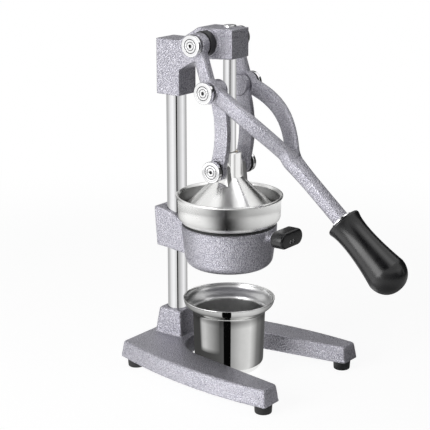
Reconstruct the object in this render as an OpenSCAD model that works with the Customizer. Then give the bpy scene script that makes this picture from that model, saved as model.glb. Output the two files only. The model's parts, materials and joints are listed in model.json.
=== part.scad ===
// Citrus press juicer: a cast stand with a chrome column, a bowl holder, and a
// lever that drives a funnel-shaped press down a guide rod onto a strainer cone.
// Millimetres. +Z is up and the lever points along -Y. The origin is where the
// press axis meets the table, so every round press part is centred on x = y = 0.

/* [Base] */
// Height of the rubber feet that show under the casting
foot_height = 12.5; // [8:0.5:18]
// Diameter of a rubber foot
foot_d = 22; // [14:1:26]
// Thickness of the base casting
base_thick = 21.5; // [16:0.5:30]
// Distance from the press axis forward to the leg tips, at their top edge
base_front = 124; // [110:1:150]
// How far the base reaches behind the column axis, at its top edge
base_tail = 31; // [26:1:45]
// Half width of the base at the leg tips
base_tip_half = 99.5; // [94:0.5:115]
// Half width of the base at its rear edge
base_rear_half = 72; // [60:1:90]
// How far the long sides bulge beyond the tips
base_bulge = 12; // [4:1:24]
// Room round the juice cup in the opening between the legs, at the top
bay_room = 8.8; // [6:0.2:11]
// Angle by which each leg's inner side splays outwards
bay_splay = 10.5; // [4:0.5:12]
// How much wider the casting is at its bottom than at its top, per side
base_draft = 3; // [1:0.5:4]
// How deep the underside of the casting is hollowed
base_hollow = 14; // [6:1:16]
// Thickness of the casting's sides round that hollow
base_side = 8; // [6:0.5:12]
// Distance from the leg tips back to the front feet
foot_front_in = 10; // [8:1:20]
// Distance from the rear edge forward to the rear feet
foot_rear_in = 13; // [12:1:24]

/* [Column] */
// Diameter of the chrome column
column_d = 25; // [20:0.5:28]
// Air between the bowl's rim and the column
column_gap = 2.1; // [1:0.1:8]
// Height of the socket block above the base
socket_h = 33; // [24:1:44]
// Depth of the socket block, front to back, at its top
socket_len = 35; // [32:1:37]
// Width of the socket block at its top
socket_w = 35; // [32:1:44]

/* [Bowl holder] */
// Height of the holder's underside above the table
holder_z = 139; // [120:1:150]
// Height of the holder's cup
holder_h = 53; // [44:1:62]
// How far the bowl's wall stands out beyond the holder's top
bowl_step = 4.2; // [2:0.1:5]
// How much the holder narrows towards its bottom, per side
holder_taper = 4.2; // [2:0.1:4.5]
// Thickness of the holder's wall above its rounded bottom
holder_wall = 2.7; // [2.2:0.1:4]
// Width of the arm that runs back to the column
holder_arm_w = 37; // [32:1:42]
// Length of the moulded knob on the holder's front, side to side
knob_w = 46; // [34:1:54]
// Height of the moulded knob
knob_h = 20.5; // [16:0.5:24]
// Depth of the moulded knob, front to back
knob_depth = 18; // [12:1:24]

/* [Bowl and strainer] */
// Height of the bowl from its shoulder to its rim
bowl_h = 35.2; // [30:0.2:40]
// Outer radius of the bowl's wall
bowl_r = 63.2; // [61:0.2:66]
// Radius of the rolled bead round the rim
bead_r = 2.2; // [1.5:0.1:3]
// Thickness of the bowl's sheet
bowl_wall = 1.5; // [1:0.1:2]
// Air between the bowl's well and the holder round it
well_gap = 0.6; // [0.3:0.1:2]
// Number of slots through the strainer cone
strainer_slots = 16; // [8:1:20]
// Number of ribs on the strainer cone
strainer_ribs = 8; // [4:1:10]

/* [Press] */
// Half angle of the press cone
cone_angle = 46; // [44:0.5:48]
// Height of the cone's apex above the bowl's rim
apex_h = 37.8; // [36:0.2:42]
// Air between the cone's skirt and the bowl's wall
skirt_gap = 4.7; // [3.5:0.1:9]
// Outer radius of the sleeve that runs on the guide rod
sleeve_r = 14.5; // [13:0.5:16]
// Height of the sleeve's top above the bowl's rim
sleeve_h = 53.8; // [50:0.2:60]
// Height of the lower pivots above the bowl's rim
lower_pivot_h = 33.9; // [32:0.1:36]
// Diameter of the guide rod
rod_d = 16; // [12:0.5:17]

/* [Head] */
// Height of the head's top above the table
head_top = 433; // [425:1:445]
// Height of the head's front arm
head_arm_h = 36; // [32:1:40]
// Width of the head, side to side
head_w = 34; // [32:1:35]
// How far the arm reaches in front of the press axis
head_front = 15.5; // [14:0.5:22]
// Distance that the rear block's top lies below the arm's top
head_step = 19; // [10:1:26]
// Height of the rear block that grips the column
head_block_h = 69; // [60:1:76]
// Depth of the rear block, front to back
head_block_len = 35; // [32:1:37]
// Distance from the press axis back to the head pivot
pivot_back = 20.2; // [18:0.2:24]
// Radius of the round bosses on the head's sides
head_boss_r = 17; // [15:0.5:17.5]
// How far those bosses stand out from the head's sides
head_boss_step = 2.4; // [1:0.2:6]

/* [Lever] */
// How far the elbow lies in front of the head pivot, with the lever down
elbow_fwd = 18.4; // [14:0.2:22]
// How far the elbow lies below the head pivot, with the lever down
elbow_drop = 54; // [50:0.5:58]
// Length of a lever hub along its pivot
hub_len = 13; // [11:0.5:16]
// Radius of a lever hub
hub_r = 14; // [12:0.5:15]
// How far the shank starts in front of the elbow
fork_fwd = 94; // [86:1:100]
// How far the shank starts below the elbow
fork_drop = 78; // [70:1:84]
// Length of the shank, up to the grip's collar
shank_len = 91; // [76:1:100]
// Angle of the lever's shank below level, with the lever down
shank_angle = 40.6; // [36:0.2:46]
// Thickness of the shank where it meets the grip
shank_d = 18; // [15:0.5:22]
// Width of the straight arms between head pivot and elbow, seen from the side
web = 17; // [12:0.5:20]
// How far each arm bows outwards between elbow and shank
arm_bow = 6; // [0:0.5:9]
// Depth of a lever arm, seen from the side
arm_depth = 20; // [16:0.5:22]
// Thickness of a lever arm, side to side
arm_w = 11.6; // [9:0.2:12]
// Length of the moulded grip
grip_len = 106; // [90:1:125]
// Largest radius of the moulded grip
grip_r = 24.3; // [21:0.1:27]

/* [Links and pivots] */
// Thickness of a link, side to side
link_w = 8; // [6:0.5:8.5]
// Depth of a link, front to back
link_depth = 19; // [15:0.5:20]
// How far a link bulges forwards between its ends
link_bulge = 9; // [4:0.5:12]
// Radius of a link's round ends
link_end_r = 12.5; // [11:0.5:13.5]
// How far a link's upper boss stands out inwards
link_boss = 2.5; // [0.5:0.1:3]
// Radius of the head shaft and of the elbow pins
shaft_r = 7; // [6:0.25:7.5]
// Radius of the lower pins
lower_pin_r = 6; // [5:0.25:6.5]
// Radius of the chrome pivot caps
cap_r = 13.3; // [11.5:0.1:14]
// Thickness of the chrome pivot caps
cap_len = 8.5; // [7.5:0.1:10]

/* [Juice cup] */
// Height of the juice cup
cup_h = 96; // [80:1:104]
// Radius of the cup's wall
cup_r = 45.2; // [40:0.2:46]
// Radius of the cup's flared rim
cup_rim_r = 57.3; // [54:0.1:60]
// Thickness of the cup's sheet
cup_wall = 1.2; // [0.8:0.1:2]
// Height of the flare below the cup's rim
cup_flare = 20; // [10:1:24]
// How much the cup's wall narrows down to its bottom edge
cup_taper = 1.8; // [0.4:0.1:3]
// Radius of the cup's rounded bottom edge
cup_corner_r = 18; // [8:1:20]

/* [Hidden] */

$fn = 96;
hull_fn = 32;                // facets of round shapes that only shape a hull
fit = 0.05;                  // radial clearance of a pin or rod in its hole
gap = 0.3;                   // air between pieces that move past each other
seat = 0.1;                  // air between fixed pieces that face each other
skin = 0.01;                 // thickness of the slabs that a hull spans
over = 1;                    // how far a cutter reaches past the solid
paint = [0.66, 0.66, 0.71];
chrome_tone = [0.86, 0.87, 0.88];
steel_tone = [0.78, 0.78, 0.78];
black_tone = [0.08, 0.08, 0.09];
rubber_tone = [0.05, 0.05, 0.06];
brass_tone = [0.72, 0.58, 0.33];

// Round parts, from the bowl inwards and outwards
holder_top_r = bowl_r - bowl_step;
holder_low_r = holder_top_r - holder_taper;
well_bore_r = holder_low_r - holder_wall;
well_r = well_bore_r - well_gap;
skirt_r = bowl_r - bowl_wall - skirt_gap;
bead_x = bowl_r + bead_r - 0.2;
bay_r = cup_r + bay_room;

// Front to back
column_r = column_d / 2;
column_back = bead_x + bead_r + column_gap + column_r;
base_rear = column_back + base_tail;
foot_front = base_front - foot_front_in;
foot_rear = base_rear - foot_rear_in;

// Heights of the stack, from the table up
base_top = foot_height + base_thick;
socket_top = base_top + socket_h;
holder_top = holder_z + holder_h;
seat_ring_t = 2;
shoulder_z = holder_top + seat_ring_t;
rim_z = shoulder_z + bowl_h;

// Column
column_foot = foot_height + 5;
block_bottom = head_top - head_step - head_block_h;
column_top = head_top - head_step - 7;
column_bolt_r = 5;

// Press
rod_r = rod_d / 2;
apex_z = rim_z + apex_h;
cone_slope = 1 / tan(cone_angle);
sleeve_top = rim_z + sleeve_h;
lower_z = rim_z + lower_pivot_h;
cone_wall = 2.8;
bush_r = rod_r + 2;
rod_foot = lower_z - 1;

// Head and lever
pivot_z = head_top - head_arm_h / 2;
elbow_y = pivot_back - elbow_fwd;
elbow_z = pivot_z - elbow_drop;
link_len = norm([elbow_y, elbow_z - lower_z]);

// Side by side, from the middle outwards
lug_out = sleeve_r + 6;
link_in = lug_out + gap;
link_out = link_in + link_w;
boss_out = link_out - gap;
hub_in = boss_out + 1.1;
hub_out = hub_in + hub_len;
cap_in = hub_out + gap;
head_boss_out = head_w / 2 + head_boss_step;
spacer_t = hub_in - head_boss_out - 0.5 - seat;
washer_t = 0.6;
lower_cap_in = link_out + 2 * gap + washer_t - seat;
cap_stud_r = 4.9;
cap_stud = 5.5;
cap_bore = cap_stud + 0.7;

// Lever curve in the side view, as [y, z]
arm_half = (hub_in + hub_out) / 2;
shank_dir = [-cos(shank_angle), -sin(shank_angle)];
fork = [elbow_y - fork_fwd, elbow_z - fork_drop];
collar_at = fork + shank_len * shank_dir;
tang_r = 6.5;
tang_reach = 0.717 * grip_len;
collar_len = 3;

// Holder
holder_corner = 13;
holder_floor = 5;
spout_r = 9;
holder_hole_r = spout_r + 2;
arm_back = column_back + column_r + 9;
knob_z = holder_top - 4;
knob_back = bowl_r + 12.8;
neck_r = 6.2;

// ---------------------------------------------------------------- helpers

// A point of the cubic Bezier curve a-b-c-d
function cubic(a, b, c, d, t) =
    pow(1 - t, 3) * a + 3 * t * pow(1 - t, 2) * b + 3 * t * t * (1 - t) * c + pow(t, 3) * d;

// Points of a circular arc
function arc(cx, cy, r, from, to, n) =
    [for (i = [0:n]) let (a = from + (to - from) * i / n) [cx + r * cos(a), cy + r * sin(a)]];

// A cylinder along X from x = a to x = b, centred on [y, z]
module bar_x(r, a, b, y, z) {
    translate([a, y, z]) rotate([0, 90, 0]) cylinder(r = r, h = b - a);
}

// The same on the left (side = -1) or the right (side = 1)
module pin_x(side, r, a, b, y, z) {
    if (side > 0) bar_x(r, a, b, y, z);
    else bar_x(r, -b, -a, y, z);
}

// A shape drawn in the side view as [y, z], thickened from x = a to x = b
module side_slab(a, b) {
    translate([a, 0, 0]) rotate([90, 0, 90]) linear_extrude(b - a) children();
}

module side_slab_at(side, a, b) {
    if (side > 0) side_slab(a, b) children();
    else side_slab(-b, -a) children();
}

// A vertical rod with a small chamfer at both ends
module rod(r, z0, z1, chamfer) {
    translate([0, 0, z0]) rotate_extrude()
        polygon([[0, 0], [r - chamfer, 0], [r, chamfer], [r, z1 - z0 - chamfer],
            [r - chamfer, z1 - z0], [0, z1 - z0]]);
}

// A cylinder head screw along +Z: its head sits on z = 0 and the shank runs down
module socket_screw_shape(head_r, head_h, shank_r, shank_len) {
    difference() {
        union() {
            cylinder(r = head_r, h = head_h);
            translate([0, 0, -shank_len]) cylinder(r = shank_r, h = shank_len + skin);
        }
        translate([0, 0, head_h * 0.4]) cylinder(r = head_r * 0.5, h = head_h, $fn = 6);
    }
}

// Places its children at the four feet
module at_feet() {
    for (side = [-1, 1]) {
        translate([side * foot_front_half, -foot_front, 0]) children();
        translate([side * foot_rear_half, foot_rear, 0]) children();
    }
}

// ---------------------------------------------------------------- base

foot_front_half = base_tip_half - 13;
foot_rear_half = base_rear_half - 9;

// One long side of the base's top outline, from the rear corner to the leg tip
function side_line(n) = [for (i = [0:n]) let (t = i / n)
    pow(1 - t, 2) * [base_rear_half, base_rear]
    + 2 * t * (1 - t) * [base_tip_half + base_bulge, -8]
    + t * t * [base_tip_half, -base_front]];

module base_outline() {
    right = side_line(14);
    left = [for (i = [len(right) - 1:-1:0]) [-right[i][0], right[i][1]]];
    polygon(concat(right, left));
}

// The opening between the legs: a round end with two splayed sides
module bay_outline(r) {
    s = bay_splay;
    reach = base_front + 3 * base_draft + over;
    tip = r * cos(s) + (reach - r * sin(s)) * tan(s);
    polygon(concat([[tip, -reach]], arc(0, 0, r, -s, 180 + s, 40), [[-tip, -reach]]));
}

module slab(z) {
    translate([0, 0, z]) linear_extrude(skin) children();
}

module socket_outline(grow) {
    offset(r = 3, $fn = hull_fn) square([socket_w - 6 + 2 * grow, socket_len - 6 + 2 * grow], center = true);
}

// The hollow underside, clear of the feet and of the column's bolt
module base_pocket() {
    translate([0, 0, foot_height - over]) linear_extrude(base_hollow + over) difference() {
        offset(delta = -base_side) base_outline();
        bay_outline(bay_r + base_side, $fn = hull_fn);
        for (side = [-1, 1]) {
            translate([side * foot_front_half, -foot_front]) circle(r = foot_d / 2, $fn = hull_fn);
            translate([side * foot_rear_half, foot_rear]) circle(r = foot_d / 2, $fn = hull_fn);
        }
        translate([0, column_back]) circle(r = column_r + base_side, $fn = hull_fn);
    }
}

module base_casting() {
    edge = 2;
    color(paint) difference() {
        union() {
            difference() {
                hull() {
                    slab(foot_height) offset(delta = base_draft) base_outline();
                    slab(base_top - edge) base_outline();
                    slab(base_top - skin) offset(delta = -edge) base_outline();
                }
                hull() {
                    slab(foot_height - over) bay_outline(bay_r - base_draft);
                    slab(base_top + over) bay_outline(bay_r);
                }
            }
            translate([0, column_back, 0]) hull() {
                slab(base_top - over) socket_outline(4);
                slab(socket_top - edge) socket_outline(0);
                slab(socket_top - skin) socket_outline(-edge * 0.8);
            }
        }
        translate([0, column_back, column_foot]) cylinder(r = column_r + fit, h = socket_top);
        translate([0, column_back, foot_height - over]) cylinder(r = column_bolt_r + 0.4, h = base_thick);
        translate([0, column_back, foot_height - over]) cylinder(r = 13, h = over + 2);
        translate([0, column_back + column_r, socket_top - socket_h / 2])
            rotate([-90, 0, 0]) cylinder(r = 4 + fit, h = socket_len);
        at_feet() translate([0, 0, foot_height - over]) cylinder(r = 3.1, h = 15);
        base_pocket();
    }
}

module foot(x, y) {
    color(rubber_tone) translate([x, y, 0]) difference() {
        rotate_extrude() polygon([[0, 0], [foot_d / 2 - 1, 0], [foot_d / 2 - 0.4, 0.8],
            [foot_d / 2, foot_height], [0, foot_height]]);
        translate([0, 0, -over]) cylinder(r = 5.2, h = over + 5);
        cylinder(r = 3.1, h = foot_height + over);
    }
}

module foot_front_left() { foot(-foot_front_half, -foot_front); }
module foot_front_right() { foot(foot_front_half, -foot_front); }
module foot_rear_left() { foot(-foot_rear_half, foot_rear); }
module foot_rear_right() { foot(foot_rear_half, foot_rear); }

module foot_screws() {
    color(steel_tone) at_feet() translate([0, 0, 5]) rotate([180, 0, 0])
        socket_screw_shape(4.8, 3, 3, foot_height + 6);
}

// ---------------------------------------------------------------- column

module column() {
    color(chrome_tone) translate([0, column_back, 0]) difference() {
        rod(column_r, column_foot, column_top, 1);
        translate([0, 0, column_foot - over]) cylinder(r = column_bolt_r, h = 30 + over);
    }
}

module column_washer() {
    color(steel_tone) translate([0, column_back, foot_height - 1.2]) difference() {
        cylinder(r = 12, h = 3);
        translate([0, 0, -over]) cylinder(r = column_bolt_r + 0.4, h = 5);
    }
}

module column_bolt() {
    color(steel_tone) translate([0, column_back, foot_height - 1.3]) rotate([180, 0, 0])
        socket_screw_shape(8, 7, column_bolt_r - fit, 30);
}

module socket_screw() {
    color(steel_tone) translate([0, column_back + column_r + seat, socket_top - socket_h / 2])
        rotate([-90, 0, 0]) difference() {
            cylinder(r = 4, h = socket_len / 2 - column_r + 1);
            translate([0, 0, socket_len / 2 - column_r - 2]) cylinder(r = 2, h = 4, $fn = 6);
        }
}

// ---------------------------------------------------------------- bowl holder

module holder_casting() {
    floor_z = holder_z + holder_floor;
    arm_low = holder_z + 10;
    arm_rise = 9;
    cr = holder_corner;
    color(paint) difference() {
        union() {
            rotate_extrude() polygon(concat([[0, holder_z], [holder_low_r - cr, holder_z]],
                arc(holder_low_r - cr, holder_z + cr, cr, -90, 0, 12),
                [[holder_top_r, holder_top - 6], [holder_top_r, holder_top], [0, holder_top]]));
            side_slab(-holder_arm_w / 2, holder_arm_w / 2) polygon(concat(
                [[0, arm_low - 3], [holder_low_r, arm_low - 3], [column_back, arm_low],
                    [arm_back - 3, arm_low + 1], [arm_back + 1, holder_top + arm_rise - 1]],
                [for (i = [0:10]) let (t = i / 10) pow(1 - t, 2) * [arm_back, holder_top + arm_rise]
                    + 2 * t * (1 - t) * [column_back - 4, holder_top + arm_rise - 1]
                    + t * t * [holder_top_r - 1, holder_top - 7]],
                [[0, holder_top - 7]]));
            translate([0, -holder_top_r + 4, knob_z - 3]) rotate([90, 0, 0])
                cylinder(r = neck_r, h = knob_back - holder_top_r + 4);
        }
        rotate_extrude() polygon([[0, floor_z], [well_bore_r - 8, floor_z], [well_bore_r, floor_z + 7],
            [well_bore_r, holder_top + 20], [0, holder_top + 20]]);
        translate([0, 0, holder_top]) cylinder(r = bowl_r + 1.5, h = 30);
        translate([0, 0, holder_z - over]) cylinder(r = holder_hole_r, h = holder_floor + 2 * over);
        translate([0, column_back, holder_z]) cylinder(r = column_r + fit, h = holder_h + 30);
        for (z = holder_screw_zs) translate([0, column_back, z]) rotate([-90, 0, 0])
            cylinder(r = 4 + fit, h = 40);
        at_knob_screws() translate([0, 0, -over]) cylinder(r = 1.7, h = 14);
    }
}

holder_screw_zs = [holder_z + 24, holder_z + 46];

module set_screw_y(y, z) {
    reach = arm_back - column_back - column_r;
    translate([0, y, z]) rotate([-90, 0, 0]) difference() {
        cylinder(r = 4, h = reach + 1.5);
        translate([0, 0, reach - 2]) cylinder(r = 2, h = 5, $fn = 6);
    }
}

module holder_screws() {
    color(steel_tone) for (z = holder_screw_zs) set_screw_y(column_back + column_r + seat, z);
}

// The two knob screws run back from the knob's face into the neck
module at_knob_screws() {
    for (side = [-1, 1]) translate([side * 2.9, -knob_back, knob_z - 3]) rotate([-90, 0, 0]) children();
}

module knob_outline(inset) {
    for (side = [-1, 1]) translate([side * (knob_w - knob_h) / 2, 0]) circle(r = knob_h / 2 - inset);
    square([knob_w - knob_h, knob_h - 2 * inset], center = true);
}

module holder_knob() {
    rim = 1.6;
    color(black_tone) translate([0, -knob_back - seat, knob_z]) rotate([90, 0, 0]) difference() {
        union() {
            linear_extrude(rim) knob_outline(rim / 2);
            translate([0, 0, rim]) linear_extrude(knob_depth - 2 * rim) knob_outline(0);
            translate([0, 0, knob_depth - rim]) linear_extrude(rim) knob_outline(rim / 2);
        }
        for (side = [-1, 1]) translate([side * 2.9, -3, -over]) cylinder(r = 1.7, h = knob_depth + 2);
        for (side = [-1, 1]) translate([side * 2.9, -3, knob_depth - 3]) cylinder(r = 2.8, h = 4);
    }
}

module knob_screws() {
    color(steel_tone) for (side = [-1, 1])
        translate([side * 2.9, -knob_back - seat - knob_depth + 3, knob_z - 3]) rotate([90, 0, 0])
            socket_screw_shape(2.6, 2, 1.6, knob_depth + 6);
}

// ---------------------------------------------------------------- bowl

module bowl_seat_ring() {
    color(rubber_tone) translate([0, 0, holder_top]) difference() {
        cylinder(r = holder_top_r - 0.5, h = seat_ring_t);
        translate([0, 0, -over]) cylinder(r = well_bore_r, h = seat_ring_t + 2 * over);
    }
}

module juice_bowl() {
    w = bowl_wall;
    floor_edge = holder_z + holder_floor + 9;
    floor_mid = holder_z + holder_floor + 3;
    spout_z = holder_z - 1;
    bead_z = rim_z - bead_r;
    knee = 6;
    color(steel_tone) rotate_extrude() polygon(concat(
        [[spout_r - w, spout_z], [spout_r, spout_z], [spout_r, floor_mid], [well_r, floor_edge],
            [well_r, shoulder_z], [holder_top_r - 1.4, shoulder_z], [bowl_r, shoulder_z + knee]],
        arc(bead_x, bead_z, bead_r, -120, 150, 18),
        [[bowl_r - w, bead_z - 1], [bowl_r - w, shoulder_z + knee + 0.6],
            [holder_top_r - 2, shoulder_z + w], [well_r - w, shoulder_z + w],
            [well_r - w, floor_edge + w], [spout_r - w, floor_mid + w]]));
}

cone_foot_r = well_r - 3;
strainer_seat = shoulder_z + bowl_wall;
strainer_step = 7;
tip_gap = 16;                // how far the strainer's tip lies below the cone's apex
strainer_tip = apex_z - tip_gap;

module strainer_cone() {
    w = 2;
    flange = holder_top_r - 3.2;
    foot_z = strainer_seat + strainer_step;
    tip_r = 5;
    slope = (strainer_tip - foot_z) / (cone_foot_r - tip_r);
    color(steel_tone) difference() {
        union() {
            rotate_extrude() polygon([[cone_foot_r - w, strainer_seat], [flange, strainer_seat],
                [flange, strainer_seat + w], [cone_foot_r, strainer_seat + w], [cone_foot_r, foot_z],
                [tip_r, strainer_tip], [0, strainer_tip + 3], [0, strainer_tip - w],
                [tip_r - 1, strainer_tip - w - 1.5], [cone_foot_r - w, foot_z - 0.6]]);
            for (i = [0:strainer_ribs - 1]) rotate(i * 360 / strainer_ribs)
                translate([0, 1.3, 0]) rotate([90, 0, 0]) linear_extrude(2.6)
                    polygon([[cone_foot_r - 1, foot_z - 1], [cone_foot_r + 0.5, foot_z + 1.5],
                        [tip_r + 1, strainer_tip + 2.4], [tip_r - 1.5, strainer_tip],
                        [tip_r + 4, strainer_tip - 4 * slope - 1]]);
        }
        for (i = [0:strainer_slots - 1]) rotate((i + 0.5) * 360 / strainer_slots)
            translate([cone_foot_r - 17, -1.5, strainer_seat + w]) cube([13, 3, 30]);
    }
}

// ---------------------------------------------------------------- head

module head_outline() {
    arm_bottom = head_top - head_arm_h;
    block_front = column_back - head_block_len / 2;
    block_top = head_top - head_step;
    polygon([[-head_front, arm_bottom + 1], [pivot_back - 2, arm_bottom - 1.5],
        [block_front - 20, arm_bottom - 8], [block_front, arm_bottom - 20], [block_front, block_bottom],
        [column_back + head_block_len / 2, block_bottom], [column_back + head_block_len / 2, block_top],
        [block_front, block_top], [block_front - 30, head_top - 0.5], [-head_front, head_top]]);
}

head_screw_zs = [block_bottom + 18, block_bottom + 46];

module head_casting() {
    color(paint) difference() {
        union() {
            side_slab(-head_w / 2, head_w / 2) head_outline();
            bar_x(head_boss_r, -head_boss_out, head_boss_out, pivot_back, pivot_z);
        }
        translate([0, column_back, block_bottom - over])
            cylinder(r = column_r + fit, h = column_top - block_bottom + over + seat);
        translate([0, 0, head_top - head_arm_h - 4 * over])
            cylinder(r = rod_r + fit, h = head_arm_h - 5 + 4 * over);
        translate([0, 0, head_top - 12]) cylinder(r = 5.4, h = 20);
        bar_x(shaft_r + fit, -head_boss_out - over, head_boss_out + over, pivot_back, pivot_z);
        for (z = head_screw_zs) translate([0, column_back, z]) rotate([-90, 0, 0])
            cylinder(r = 4 + fit, h = 40);
    }
}

module head_screws() {
    reach = head_block_len / 2 - column_r;
    color(steel_tone) for (z = head_screw_zs) translate([0, column_back + column_r + seat, z])
        rotate([-90, 0, 0]) difference() {
            cylinder(r = 4, h = reach + 1.2);
            translate([0, 0, reach - 2]) cylinder(r = 2, h = 5, $fn = 6);
        }
}

module guide_rod() {
    color(chrome_tone) difference() {
        rod(rod_r, rod_foot, head_top - 5 - seat, 0.8);
        translate([0, 0, head_top - 32]) cylinder(r = 5, h = 40);
    }
}

module guide_rod_screw() {
    color(chrome_tone) difference() {
        union() {
            translate([0, 0, head_top + seat]) rotate_extrude()
                polygon([[0, 0], [7.6, 0], [7.6, 2.4], [6.8, 3.2], [0, 3.2]]);
            translate([0, 0, head_top - 28]) cylinder(r = 5 - fit, h = 30);
        }
        translate([-1, -10, head_top + 1.4]) cube([2, 20, 5]);
    }
}

// ---------------------------------------------------------------- pivots

// A chrome pivot cap: a thick disc with a ring groove and a centre hole
module pivot_cap(side, x_in, y, z) {
    edge = 1.1;
    color(chrome_tone) translate([side * x_in, y, z]) rotate([0, side * 90, 0]) difference() {
        rotate_extrude() polygon([[0, 0], [cap_r - 2, 0], [cap_r - 2, 1.6], [cap_r, 2],
            [cap_r, cap_len - edge], [cap_r - edge, cap_len], [cap_r * 0.65, cap_len],
            [cap_r * 0.62, cap_len - 0.5], [cap_r * 0.59, cap_len], [cap_r * 0.4, cap_len],
            [cap_r * 0.375, cap_len - 0.4], [cap_r * 0.35, cap_len], [0, cap_len]]);
        translate([0, 0, cap_len - 2]) cylinder(r = 2.1, h = 3);
        translate([0, 0, -over]) cylinder(r = cap_stud_r + fit, h = cap_bore + over);
    }
}

// A pin with a reduced end that carries its cap
module capped_pin(side, r, x_in, x_out, y, z) {
    pin_x(side, r, x_in, x_out, y, z);
    pin_x(side, cap_stud_r, x_out - over, x_out + cap_stud, y, z);
}

module pivot_shaft() {
    color(chrome_tone) for (side = [-1, 1])
        capped_pin(side, shaft_r, 0, cap_in - seat, pivot_back, pivot_z);
}

module shaft_cap_left() { pivot_cap(-1, cap_in, pivot_back, pivot_z); }
module shaft_cap_right() { pivot_cap(1, cap_in, pivot_back, pivot_z); }

// A flat washer on a pivot
module washer_x(side, r, bore, x_in, t, y, z) {
    difference() {
        pin_x(side, r, x_in, x_in + t, y, z);
        pin_x(side, bore, x_in - over, x_in + t + over, y, z);
    }
}

module hub_washers() {
    color(black_tone) for (side = [-1, 1])
        washer_x(side, hub_r + 1.2, shaft_r + fit, head_boss_out + seat, spacer_t, pivot_back, pivot_z);
}

module elbow_pin(side) {
    color(chrome_tone) capped_pin(side, shaft_r, hub_in, cap_in - seat, elbow_y, elbow_z);
}

module elbow_pin_left() { elbow_pin(-1); }
module elbow_pin_right() { elbow_pin(1); }
module elbow_cap_left() { pivot_cap(-1, cap_in, elbow_y, elbow_z); }
module elbow_cap_right() { pivot_cap(1, cap_in, elbow_y, elbow_z); }

module lower_pin(side) {
    color(chrome_tone) capped_pin(side, lower_pin_r, bush_r + 1.5, lower_cap_in - seat, 0, lower_z);
}

module lower_pin_left() { lower_pin(-1); }
module lower_pin_right() { lower_pin(1); }
module lower_cap_left() { pivot_cap(-1, lower_cap_in, 0, lower_z); }
module lower_cap_right() { pivot_cap(1, lower_cap_in, 0, lower_z); }

module link_washers() {
    color(black_tone) for (side = [-1, 1])
        washer_x(side, link_end_r - 1, lower_pin_r + fit, link_out + gap, washer_t, 0, lower_z);
}

// ---------------------------------------------------------------- lever

// Centre line of the lever in the side view: a curve from the elbow to the fork,
// then straight along the shank. t runs 0..1 on the curve and 1..2 on the shank.
function lever_line(t) = t <= 1
    ? cubic([elbow_y, elbow_z], [elbow_y - 0.34 * fork_fwd, elbow_z - 0.103 * fork_drop],
        [elbow_y - 0.766 * fork_fwd, elbow_z - 0.487 * fork_drop], fork, t)
    : fork + (t - 1) * shank_len * shank_dir;

// Direction across the centre line in the side view, around the stations a and b
function across(a, b) = let (d = lever_line(b) - lever_line(a), n = d / norm(d)) [0, -n[1], n[0]];

// Ring of points: half width hx along X round x, half depth hn across
function ring(x, t, hx, hn, sides) = let (c = lever_line(t), n = across(max(t - 0.06, 0), min(t + 0.06, 2)))
    [for (i = [0:sides - 1]) let (a = 360 * (i + 0.5) / sides, cx = cos(a), sy = sin(a))
        [x + sign(cx) * pow(abs(cx), 0.6) * hx, c[0], c[1]] + sign(sy) * pow(abs(sy), 0.6) * hn * n];

// Distance of an arm's centre from the middle
function arm_x(t) = arm_half * (1 - pow(t, 2.5)) + arm_bow * pow(sin(180 * t), 2);

// Two arms that join into the shank, as one closed surface
module yoke() {
    k = 12;                  // steps along an arm
    m = 12;                  // steps along the shank
    crotch = 0.91;           // where the arms join
    arm = [for (i = [0:k]) let (t = crotch * i / k) ring(arm_x(t), t, arm_w / 2, arm_depth / 2, 16)];
    wide = arm_x(crotch) + arm_w / 2;
    shank = [for (i = [1:m]) let (t = crotch + (2 - crotch) * i / m, w = pow(1 - i / m, 5))
        ring(0, t, shank_d / 2 + (wide - shank_d / 2) * w, shank_d / 2 + (arm_depth - shank_d) / 2 * w, 20)];
    left = (k + 1) * 16;
    start = 2 * left;
    r0 = k * 16;
    l0 = left + k * 16;
    // indices of the ring round both arms where they join
    join = [for (i = [0:19]) i < 5 ? r0 + i : i > 14 ? r0 + i - 4 : i < 10 ? l0 + 9 - i : l0 + 25 - i];
    rows = concat([join], [for (q = [0:m - 1]) [for (i = [0:19]) start + q * 20 + i]]);
    last = start + (m - 1) * 20;
    polyhedron(
        points = concat([for (r = arm) for (p = r) p], [for (r = arm) for (p = r) [-p[0], p[1], p[2]]],
            [for (r = shank) for (p = r) p]),
        faces = concat(
            [for (i = [1:14]) [0, i + 1, i]],
            [for (i = [1:14]) [left, left + i, left + i + 1]],
            [for (q = [0:k - 1]) for (i = [0:15]) let (j = (i + 1) % 16, g = q * 16)
                each [[g + i, g + j, g + 16 + j], [g + i, g + 16 + j, g + 16 + i]]],
            [for (q = [0:k - 1]) for (i = [0:15]) let (j = (i + 1) % 16, g = left + q * 16)
                each [[g + i, g + 16 + j, g + j], [g + i, g + 16 + i, g + 16 + j]]],
            [for (i = [4:10]) [r0 + i, r0 + i + 1, l0 + i + 1]],
            [for (i = [4:10]) [r0 + i, l0 + i + 1, l0 + i]],
            [for (q = [0:m - 1]) for (i = [0:19]) let (j = (i + 1) % 20, a = rows[q], b = rows[q + 1])
                each [[a[i], a[j], b[j]], [a[i], b[j], b[i]]]],
            [for (i = [1:18]) [last, last + i, last + i + 1]]),
        convexity = 6);
}

// Turns its children's +Z along the shank, with their origin at the collar
module at_collar() {
    translate([0, collar_at[0], collar_at[1]]) rotate([90 + shank_angle, 0, 0]) children();
}

// The straight part of the lever between the head pivot and the elbow
module short_arm(side) {
    a = atan2(elbow_drop, elbow_fwd);
    n = [sin(a), -cos(a)] * web / 2;
    o = [pivot_back, pivot_z];
    e = [elbow_y, elbow_z];
    side_slab_at(side, hub_in + 0.5, hub_out - 0.5) polygon([o + n, e + n, e - n, o - n]);
}

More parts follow.
